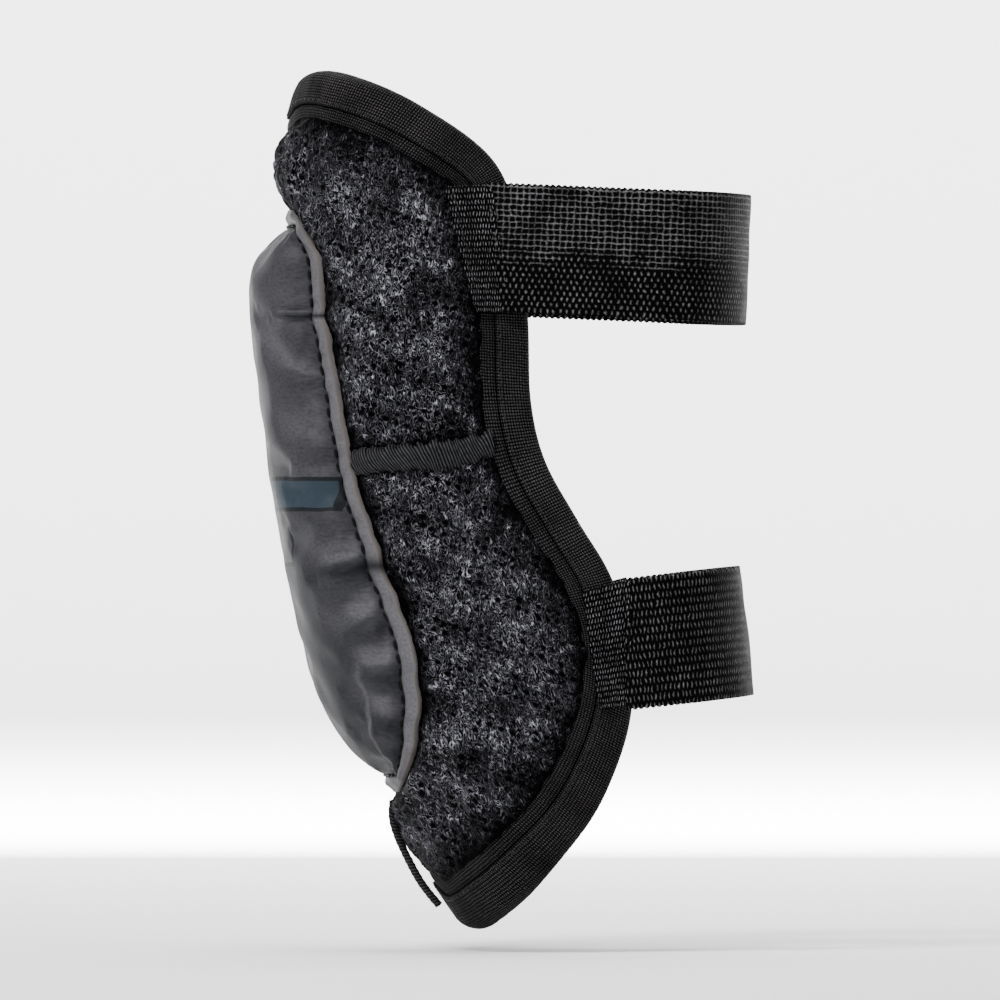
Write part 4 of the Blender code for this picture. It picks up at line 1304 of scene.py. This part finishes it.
        # Painted highlight on raised relief and along the welt low on the cap; the flange is lighter.
        crest_highlight_and_flange = 0.6 * np.clip(relief * 1.3, 0.0, 1.0)
        crest_highlight_and_flange = np.maximum(crest_highlight_and_flange, 0.95 * (inside < self.flange - 0.3))
        climb = self.climb(height, inside)
        welt = bell(self.climb_share(height, inside) - 0.8, 0.035)
        crest_highlight_and_flange = np.maximum(crest_highlight_and_flange, 0.6 * welt * np.clip((-36.0 - height) / 12.0, 0.0, 1.0))
        rim = bell(inside, 0.35)
        # Painted shade for the slit, the deepest fold, every trough and the seam line.
        slit, deep = self.creases[self.slit], self.creases[self.deepest]
        fold = bell(height - slit.height, 0.55) * np.clip((slit.length - climb) / 1.5, 0.0, 1.0)
        line = height - deep.height - deep.slope * climb
        reach = np.clip((deep.length + 1.0 - climb) / 5.0, 0.0, 1.0)
        fold = np.maximum(fold, 0.95 * bell(line, 1.7) * reach)
        fold = np.maximum(fold, 0.3 * np.clip(-relief, 0.0, 1.0))
        fold = np.maximum(fold, 0.4 * bell(inside - self.flange, 0.3))
        values = {"crest_highlight_and_flange": crest_highlight_and_flange, "rim": rim, "fold": fold}
        return {label: np.tile(value.ravel(), 2) for label, value in values.items()}

    def wrinkles(self) -> Array:
        """Moves of the leather when its core fills it, on the fine grid."""
        flat, inside = self.flat_grid(1)
        run = ClothRun(pressure=3.0, growth=0.025, bending=4.0, limit=0.0012)
        return finer(run.moves(self.surface(flat, inside), inside < self.flange + 0.4), self.finer)

    def build(self) -> None:
        """Makes the cover and its stitches."""
        flat, inside = self.flat_grid(self.finer)
        arc, height = flat[..., 0], flat[..., 1]
        top = self.surface(flat, inside)
        top = top + self.wrinkles()
        lowest = self.seat - 2.2
        depth = np.maximum(self.offset(height, inside) - 3.5 * self.leather, lowest)
        under = self.sheet.place(arc, height, depth)
        masks = self.masks(arc, height, inside)
        cover = new_piece("leather_cap", *closed_sheet(top, under, flat), masks=masks)
        dress(cover, LeatherFinish().make(self.shop))
        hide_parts("cap_cover", "cap_core_upper", "cap_core_lower")
        self.flex.bend(cover)
        self.build_stitches()

    def build_stitches(self) -> None:
        """Dark stitches sunk in the seam, all round the cap."""
        low, high = self.sheet.cap_ends()
        heights = np.linspace(low + self.flange, high - self.flange, 400)
        right = np.column_stack([self.reach(heights) - self.flange, heights])
        head = np.linspace(1.0, -1.0, 40)[1:-1, None] * (right[-1, 0], 0.0) + (0.0, right[-1, 1])
        foot = np.linspace(-1.0, 1.0, 40)[1:-1, None] * (right[0, 0], 0.0) + (0.0, right[0, 1])
        loop = np.vstack([right, head, right[::-1] * (-1.0, 1.0), foot, right[:1]])
        count, shape = self.sheet.stitches(
            loop,
            lengths_along(loop),
            self.stitch_pitch,
            lambda middle: self.offset(middle[:, 1], np.full(len(middle), self.flange)) + 0.5,
            (0.5, 0.4),
        )
        row = new_piece("cap_stitches", *shape)
        dress(row, ThreadFinish("cap_thread").make(self.shop))
        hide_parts("cap_stitching")
        self.flex.bend(row)
        LOG.info("leather cap: cover and %d stitches", count)


@dataclass
class SatinBar:
    """Satin-stitched bar across a wing: leaning threads laid side by side over a cord."""

    sheet: GuardSheet
    shop: Workshop
    flex: Flex
    material: object = None
    width: float = 7.0
    crown: float = 2.2
    pitch: float = 0.72
    samples: int = 560
    points_across: int = 25

    def build(self, side: Side) -> None:
        """Makes the bar of one wing.

        The relief is |cos| ridges across the bar, on a half-round section that sags midway.
        """
        line = np.linspace(0.0, self.sheet.arc_at(self.sheet.flex_depth, self.sheet.flex_height), 400)
        level = self.sheet.flex_line(line)
        start = float(np.interp(0.0, line - self.sheet.cap_half(level), line)) + 1.2
        beyond = line > start
        edge = self.sheet.edge_distance(line, level)
        stop = float(np.interp(-11.2, -edge[beyond], line[beyond]))
        arcs = np.linspace(start, stop, self.samples)[None, :]
        share = np.linspace(-1.0, 1.0, self.points_across)[:, None]
        seed = 3 if side is Side.RIGHT else 9
        ragged = 1.0 + 0.14 * ripple(arcs, 0.0 * arcs, 2.2, seed) * np.abs(share)
        along = (arcs - start) / (stop - start)
        sag = -1.1 * np.sin(math.pi * along) + 0.6 * np.sin(2 * math.pi * along)
        height = self.sheet.flex_line(arcs) + sag + 0.5 * self.width * share * ragged
        arc = arcs + 0.0 * share
        lean = 0.35 + 0.18 * ripple(arcs, 0.0 * arcs, 14.0, seed + 1)
        phase = (arc + lean * share * 0.5 * self.width) / self.pitch
        phase = phase + 0.12 * ripple(arcs, share, 3.0, seed)
        ridge = np.abs(np.cos(math.pi * phase)) ** 0.7
        middle = self.sheet.flex_line(arcs)
        base = self.sheet.skin(arcs[0], middle[0], detail=False)[None, :]
        section = self.crown * np.sqrt(np.maximum(1.0 - share**2, 0.0)) * (1.0 + 0.1 * np.sin(5 * along))
        top = base + section + 0.32 * ridge * (1.0 - share**4)
        bottom = np.broadcast_to(base - 0.6, top.shape)
        flat = np.stack([side.value * arc, height], axis=-1)
        shape = closed_sheet(
            self.sheet.place(flat[..., 0], height, top),
            self.sheet.place(flat[..., 0], height, bottom),
            np.stack([phase * self.pitch, share * 0.5 * self.width + 0.0 * arc], axis=-1),
            outwards=side is Side.LEFT,
        )
        name = side.name.lower()
        bar = new_piece(f"satin_bar_{name}", *shape)
        dress(bar, self.material)
        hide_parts(f"flex_bar_{name}")
        self.flex.bend(bar)
        LOG.info("satin bar on the %s wing", name)


@dataclass
class ElasticStrap:
    """Elastic loop: its band from crease to crease, and the tabs sewn to both wings. Millimetres."""

    name: str
    sheet: GuardSheet
    shop: Workshop
    weave: Weave
    level: float
    slope: float
    tab_edge: tuple
    crease: tuple
    blend_from: float
    tack_share: float
    width: float = 32.0
    thick: float = 1.4
    reach: float = 50.0
    bend: float = 26.0
    power: float = 2.6
    tooth: float = 0.55
    pitch: float = 1.5
    band_grid: tuple = (33, 620)
    tab_grid: tuple = (96, 64)
    tack_count: int = 17

    def axes(self) -> tuple[Array, Array, Array]:
        """Centre, unit vector to the rear and unit vector up across the band."""
        turn = math.radians(self.slope)
        rear = np.array([math.cos(turn), 0.0, math.sin(turn)])
        up = np.array([-math.sin(turn), 0.0, math.cos(turn)])
        return np.array([0.0, 0.0, self.level]), rear, up

    def path(self) -> Array:
        """Half of the loop along the limb: straight, then a superellipse to the bight."""
        share = 1.0 + self.sheet.width_taper * self.level / self.sheet.half_height
        span = self.sheet.half_width * share + 5.65
        angle = np.linspace(math.pi / 2, 0.0, 160)
        bend_x = self.reach - self.bend + self.bend * np.cos(angle) ** (2.0 / self.power)
        bend_y = span * np.sin(angle) ** (2.0 / self.power)
        return np.vstack([[-STRAIGHT_RUN, span], np.column_stack([bend_x, bend_y])])

    def crease_depth(self, across: Array) -> Array:
        """Depth of the crease at each place across the band."""
        _, rear, up = self.axes()
        ends = [(x, z - self.level) for x, z in self.crease]
        along = [x * rear[0] + z * rear[2] for x, z in ends]
        level = [x * up[0] + z * up[2] for x, z in ends]
        return np.interp(across, [level[1], level[0]], [along[1], along[0]])

    def band_points(self, run: Array, across: Array, lift: Array) -> Array:
        """World points of the band.

        Args:
            run: signed distance from the bight's middle, negative on the right wing.
            across: place across the band, up positive.
            lift: offset outwards from the band's inner face.

        Returns:
            Points in metres.
        """
        centre, rear, up = self.axes()
        path = self.path()
        distance = lengths_along(path)
        step = np.gradient(path, distance, axis=0)
        step[:2] = (1.0, 0.0)
        step[-1] = (0.0, -1.0)
        step = unit(step)
        from_start = distance[-1] - np.abs(run)
        x, y = (np.interp(from_start, distance, axis) for axis in path.T)
        step_x, step_y = (np.interp(from_start, distance, axis) for axis in step.T)
        side = np.sign(run)
        depth = (x - lift * step_y)[..., None] * rear
        lateral = (side * (y + lift * step_x))[..., None] * np.array([0.0, 1.0, 0.0])
        return (centre + depth + lateral + across[..., None] * up) * MM

    def build(self) -> None:
        """Makes the band, the tabs and their stitches."""
        pitches = (1.6, 1.45) if self.weave is Weave.GRID else (1.06, 2.1)
        self.build_band(ElasticFinish(f"elastic_{self.name}", self.weave, *pitches).make(self.shop))
        folded = ElasticFinish(
            f"folded_elastic_{self.name}", Weave.BRICK, 0.95, 1.5, light=(0.2, 0.2, 0.21)
        ).make(self.shop)
        for side in Side:
            self.build_tab(side, folded)
        LOG.info("%s strap: band and tabs", self.name)

    def build_band(self, material) -> None:
        """The band as one closed sheet with toothed edges."""
        rows, columns = self.band_grid
        path = self.path()
        total = lengths_along(path)[-1]
        share = np.linspace(-1.0, 1.0, columns)[None, :]
        level = np.linspace(-1.0, 1.0, rows)[:, None]
        across = 0.5 * self.width * level
        from_start = self.crease_depth(across) - 1.5 + STRAIGHT_RUN
        run = (total - from_start) * share
        tooth = np.abs(np.sin(math.pi * run / self.pitch)) ** 0.8
        edge = np.clip((np.abs(level) - 0.9) / 0.1, 0.0, 1.0)
        spread = across + np.sign(level) * self.tooth * (tooth - 0.4) * edge
        wave = 0.22 * ripple(run, across, 24.0, 31 if self.weave is Weave.GRID else 37)
        cushion = 0.18 * (1.0 - np.abs(level) ** 6)
        outer = self.band_points(run, spread, self.thick + wave + cushion)
        inner = self.band_points(run, spread, wave - cushion)
        maps = np.stack([run, across + 0.0 * run], axis=-1)
        band = new_piece(f"{self.name}_band", *closed_sheet(outer, inner, maps, outwards=False))
        dress(band, material)
        runs = [f"{self.name}_strap_run_{side}" for side in ("right", "left")]
        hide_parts(f"{self.name}_strap_bight", *runs)
        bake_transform(band)

    def tab_points(self, down: Array, over: Array) -> Array:
        """Side-view points of the tab between its edge and the crease, with round corners."""
        edge, crease = np.array(self.tab_edge), np.array(self.crease)
        left = edge[0] + down[..., None] * (edge[1] - edge[0])
        right = crease[0] + down[..., None] * (crease[1] - crease[0])
        grid = (1 - over[..., None]) * left + over[..., None] * right
        end = np.minimum(down, 1 - down) * self.width
        grid[..., 0] += 0.7 * np.exp(-end / 0.9) * np.exp(-over * 6.0)
        return grid

    def build_tab(self, side: Side, material) -> None:
        """Folded end of the band, sewn on the wing over the binding."""
        down = np.linspace(0.0, 1.0, self.tab_grid[0])[:, None]
        share = np.linspace(0.0, 1.0, self.tab_grid[1])[None, :]
        view = self.tab_points(down, share)
        height = view[..., 1]
        arc = self.sheet.arc_at(view[..., 0], height)
        distance = self.sheet.edge_distance(arc, height)
        lying = 3.3 + 0.2 * np.minimum(distance, 12.0) + 0.25
        base = lying + (5.3 - lying) * share**2
        over = share * (view[0, -1, 0] - view[0, 0, 0])
        below, above = down * self.width, (1 - down) * self.width
        round_edge = rise(over + 0.12, 0.6) * rise(below + 0.1, 0.5) * rise(above + 0.1, 0.5)
        sewn = 0.5 * bell(over - 2.0, 0.55) + 0.35 * bell(share - 0.86, 0.05)
        top = base + 0.25 + 1.75 * round_edge - sewn + 0.12 * ripple(arc, height, 7.0, 51)
        flat_arc = side.value * arc
        maps = np.stack([over * 1.25 + 4.0 * down + 0.0 * height, above + 0.0 * height], axis=-1)
        shape = closed_sheet(
            self.sheet.place(flat_arc, height, top),
            self.sheet.place(flat_arc, height, base - 0.3),
            maps,
            outwards=side is Side.RIGHT,
        )
        name = side.name.lower()
        tab = new_piece(f"{self.name}_tab_{name}", *shape)
        dress(tab, material)
        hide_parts(f"{self.name}_strap_tab_{name}")
        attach(tab, f"{self.name}_guard")
        self.build_tack(side, view, base)

    def build_tack(self, side: Side, view: Array, base: Array) -> None:
        """Zigzag stitches that hold the tab down along its edge."""
        count = self.tack_count
        share = np.linspace(0.06, 0.94, count)
        rows = np.arange(view.shape[0]) / (view.shape[0] - 1)
        column = int(self.tack_share * view.shape[1])
        middle = at_lengths(share, rows, view[:, column])
        offset = np.interp(share, rows, base[:, column]) + 1.62
        arc = side.value * self.sheet.arc_at(middle[:, 0], middle[:, 1])
        centre = self.sheet.place(arc, middle[:, 1], offset)
        lean = np.where(np.arange(count) % 2 == 0, 0.55, -0.55)
        forward = np.stack([np.sin(lean), 0.0 * lean, np.cos(lean)], axis=1)
        outward = np.tile([0.0, side.value, 0.0], (count, 1))
        across = np.cross(outward, forward)
        shape = beads(centre, forward, across, outward, (0.85 * MM, 0.16 * MM, 0.14 * MM))
        name = side.name.lower()
        row = new_piece(f"{self.name}_tack_{name}", *shape)
        finish = ThreadFinish(f"tack_thread_{self.name}_{name}", light=(0.05, 0.05, 0.055))
        dress(row, finish.make(self.shop))
        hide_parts(f"{self.name}_strap_tack_{name}")
        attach(row, f"{self.name}_guard")


@dataclass
class FrontCord:
    """Thin braided cord from the foot of the cap to the binding. Route in metres."""

    shop: Workshop
    diameter: float = 0.002
    braid_pitch: float = 0.0034
    sections: int = 150
    sides: int = 24
    route: tuple = (
        (-0.0382, 0.0, -0.0756), (-0.0384, 0.0, -0.0800), (-0.0372, 0.0, -0.0846),
        (-0.0352, 0.0, -0.0890), (-0.0332, 0.0, -0.0930), (-0.0311, 0.0, -0.0966),
        (-0.0287, 0.0, -0.0998), (-0.0265, 0.0, -0.1024),
    )

    def build(self) -> None:
        """Makes the cord: a tube whose radius ripples with two crossing braid spirals."""
        path = resample(smooth_path(self.route, 16), self.sections)
        step = unit(np.gradient(path, axis=0))
        side = np.tile([0.0, 1.0, 0.0], (len(path), 1))
        normal = np.cross(step, side)
        around = np.linspace(0.0, 2 * math.pi, self.sides + 1)[:-1]
        along = lengths_along(path)
        spiral = 2 * math.pi * along[:, None] / self.braid_pitch
        braid = np.abs(np.sin(spiral + 2 * around)) * 0.5 + np.abs(np.sin(spiral - 2 * around)) * 0.5
        radius = 0.5 * self.diameter * (0.9 + 0.13 * braid)
        radius[[0, -1]] *= 0.3
        out = np.cos(around)[None, :, None] * side[:, None]
        out = out + np.sin(around)[None, :, None] * normal[:, None]
        ring = path[:, None] + radius[..., None] * out
        size = len(around)
        number = np.arange(len(path) * size).reshape(len(path), size)
        ahead = np.roll(number, -1, axis=1)
        faces = np.stack([number[:-1], ahead[:-1], ahead[1:], number[1:]], -1).reshape(-1, 4)
        near = np.arange(size // 2 - 1)
        corners = np.stack([near, near + 1, size - 2 - near, size - 1 - near], axis=-1)
        first = number[0][corners[:, [0, 3, 2, 1]]]
        last = number[-1][corners]
        faces = np.vstack([faces, first, last])
        maps = np.stack(np.meshgrid(along / MM, around, indexing="ij"), axis=-1).reshape(-1, 2)
        cord = new_piece("front_cord_braid", ring.reshape(-1, 3), faces, maps)
        finish = ThreadFinish("cord_braid", (0.004, 0.004, 0.0045), (0.05, 0.05, 0.052), 0.87, 0.4, 0.6)
        dress(cord, finish.make(self.shop))
        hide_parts("front_cord")
        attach(cord, "lower_guard")
        LOG.info("front cord, %.1f mm long", along[-1] / MM)


@dataclass
class Studio:
    """Pale floor swept up into a backdrop, soft lights and the long-lens camera. Metres."""

    floor: float = -0.1135
    centre: tuple = (-0.01125, 0.0, 0.0)
    view_width: float = 0.25
    lens: float = 700.0
    wing: float = -0.0465

    def build(self) -> None:
        """Makes the stage, the lights, the world and the camera."""
        self.backdrop()
        lights = (
            ("key", (-0.65, -0.95, 1.15), self.centre, 0.45, 34.0),
            ("fill", (1.0, -1.1, 0.3), self.centre, 1.0, 4.0),
            ("top", (0.1, -0.1, 1.3), self.centre, 0.8, 12.0),
            ("rear", (0.6, 0.95, 0.6), self.centre, 0.9, 2.5),
            ("backdrop", (0.0, 1.3, 1.4), (0.0, 6.6, 1.2), 2.0, 800.0),
            ("floor", (0.0, 1.8, 2.4), (0.0, 4.4, 0.0), 2.6, 320.0),
        )
        for settings in lights:
            self.light(*settings)
        world = bpy.data.worlds.new("soft_room")
        world.use_nodes = True
        background = world.node_tree.nodes["Background"]
        background.inputs["Color"].default_value = (1.0, 1.0, 1.0, 1.0)
        background.inputs["Strength"].default_value = 0.3
        bpy.context.scene.world = world
        self.camera()

    def backdrop(self) -> None:
        """Floor that curves up behind the guard: flat, a quarter round, then upright."""
        turn = np.linspace(0.0, math.pi / 2, 24)
        y = np.concatenate([[-9.0, -3.0, 0.0], 5.6 + np.sin(turn), [6.6]])
        z = np.concatenate([[0.0, 0.0, 0.0], 1.0 - np.cos(turn), [6.0]])
        x = np.linspace(-9.0, 9.0, 9)
        grid_x, grid_y = np.meshgrid(x, y)
        points = np.stack([grid_x, grid_y, np.repeat(z[:, None] + self.floor, len(x), 1)], -1)
        number = np.arange(points.size // 3).reshape(points.shape[:2])
        flat = points[..., :2].reshape(-1, 2)
        stage = new_piece("studio_floor", points.reshape(-1, 3), quads(number), flat)
        material = bpy.data.materials.new("pale_paper")
        material.use_nodes = True
        shader = material.node_tree.nodes["Principled BSDF"]
        shader.inputs["Base Color"].default_value = (0.93, 0.93, 0.93, 1.0)
        shader.inputs["Roughness"].default_value = 0.9
        stage.data.materials.append(material)

    def light(self, name: str, place: tuple, target: tuple, size: float, power: float) -> None:
        """One soft area light aimed at a target."""
        data = bpy.data.lights.new(name, "AREA")
        data.shape = "DISK"
        data.size = size
        data.energy = power
        lamp = bpy.data.objects.new(name, data)
        lamp.location = place
        lamp.rotation_euler = (Vector(target) - Vector(place)).to_track_quat("-Z", "Y").to_euler()
        bpy.context.scene.collection.objects.link(lamp)

    def camera(self) -> None:
        """Level camera looking along +Y at the near wing."""
        data = bpy.data.cameras.new("side_view")
        data.lens = self.lens
        data.sensor_width = 36.0
        data.clip_end = 50.0
        away = self.view_width * self.lens / data.sensor_width
        eye = bpy.data.objects.new("side_view", data)
        eye.location = (self.centre[0], self.wing - away, self.centre[2])
        eye.rotation_euler = (math.pi / 2, 0.0, 0.0)
        bpy.context.scene.collection.objects.link(eye)
        bpy.context.scene.camera = eye


def main() -> None:
    """Builds every sub-assembly round the frame."""
    logging.basicConfig(level=logging.INFO, format="%(name)s: %(message)s")
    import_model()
    Studio().build()
    shop = Workshop()
    sheet = GuardSheet()
    flex = Flex()
    FrontCord(shop).build()
    PaddedBody(sheet, shop, flex).build()
    EdgeBinding(sheet, shop, flex).build()
    LeatherCap(sheet, shop, flex).build()
    satin = ThreadFinish(
        "satin_thread", dark=(0.0006, 0.0006, 0.0008), light=(0.045, 0.045, 0.05), pitch=0.72, slant=0.0
    ).make(shop)
    for side in Side:
        SatinBar(sheet, shop, flex, satin).build(side)
    ElasticStrap(
        "upper", sheet, shop, Weave.GRID, 62.6, -2.4,
        ((-25.3, 78.4), (-17.4, 46.8)), ((-13.2, 78.9), (-9.0, 46.8)), blend_from=2.0, tack_share=0.17,
    ).build()
    ElasticStrap(
        "lower", sheet, shop, Weave.BRICK, -38.6, 6.5,
        ((9.2, -22.6), (13.6, -52.4)), ((21.0, -19.6), (21.9, -51.4)), blend_from=22.0, tack_share=0.24,
    ).build()


if __name__ == "__main__":
    main()
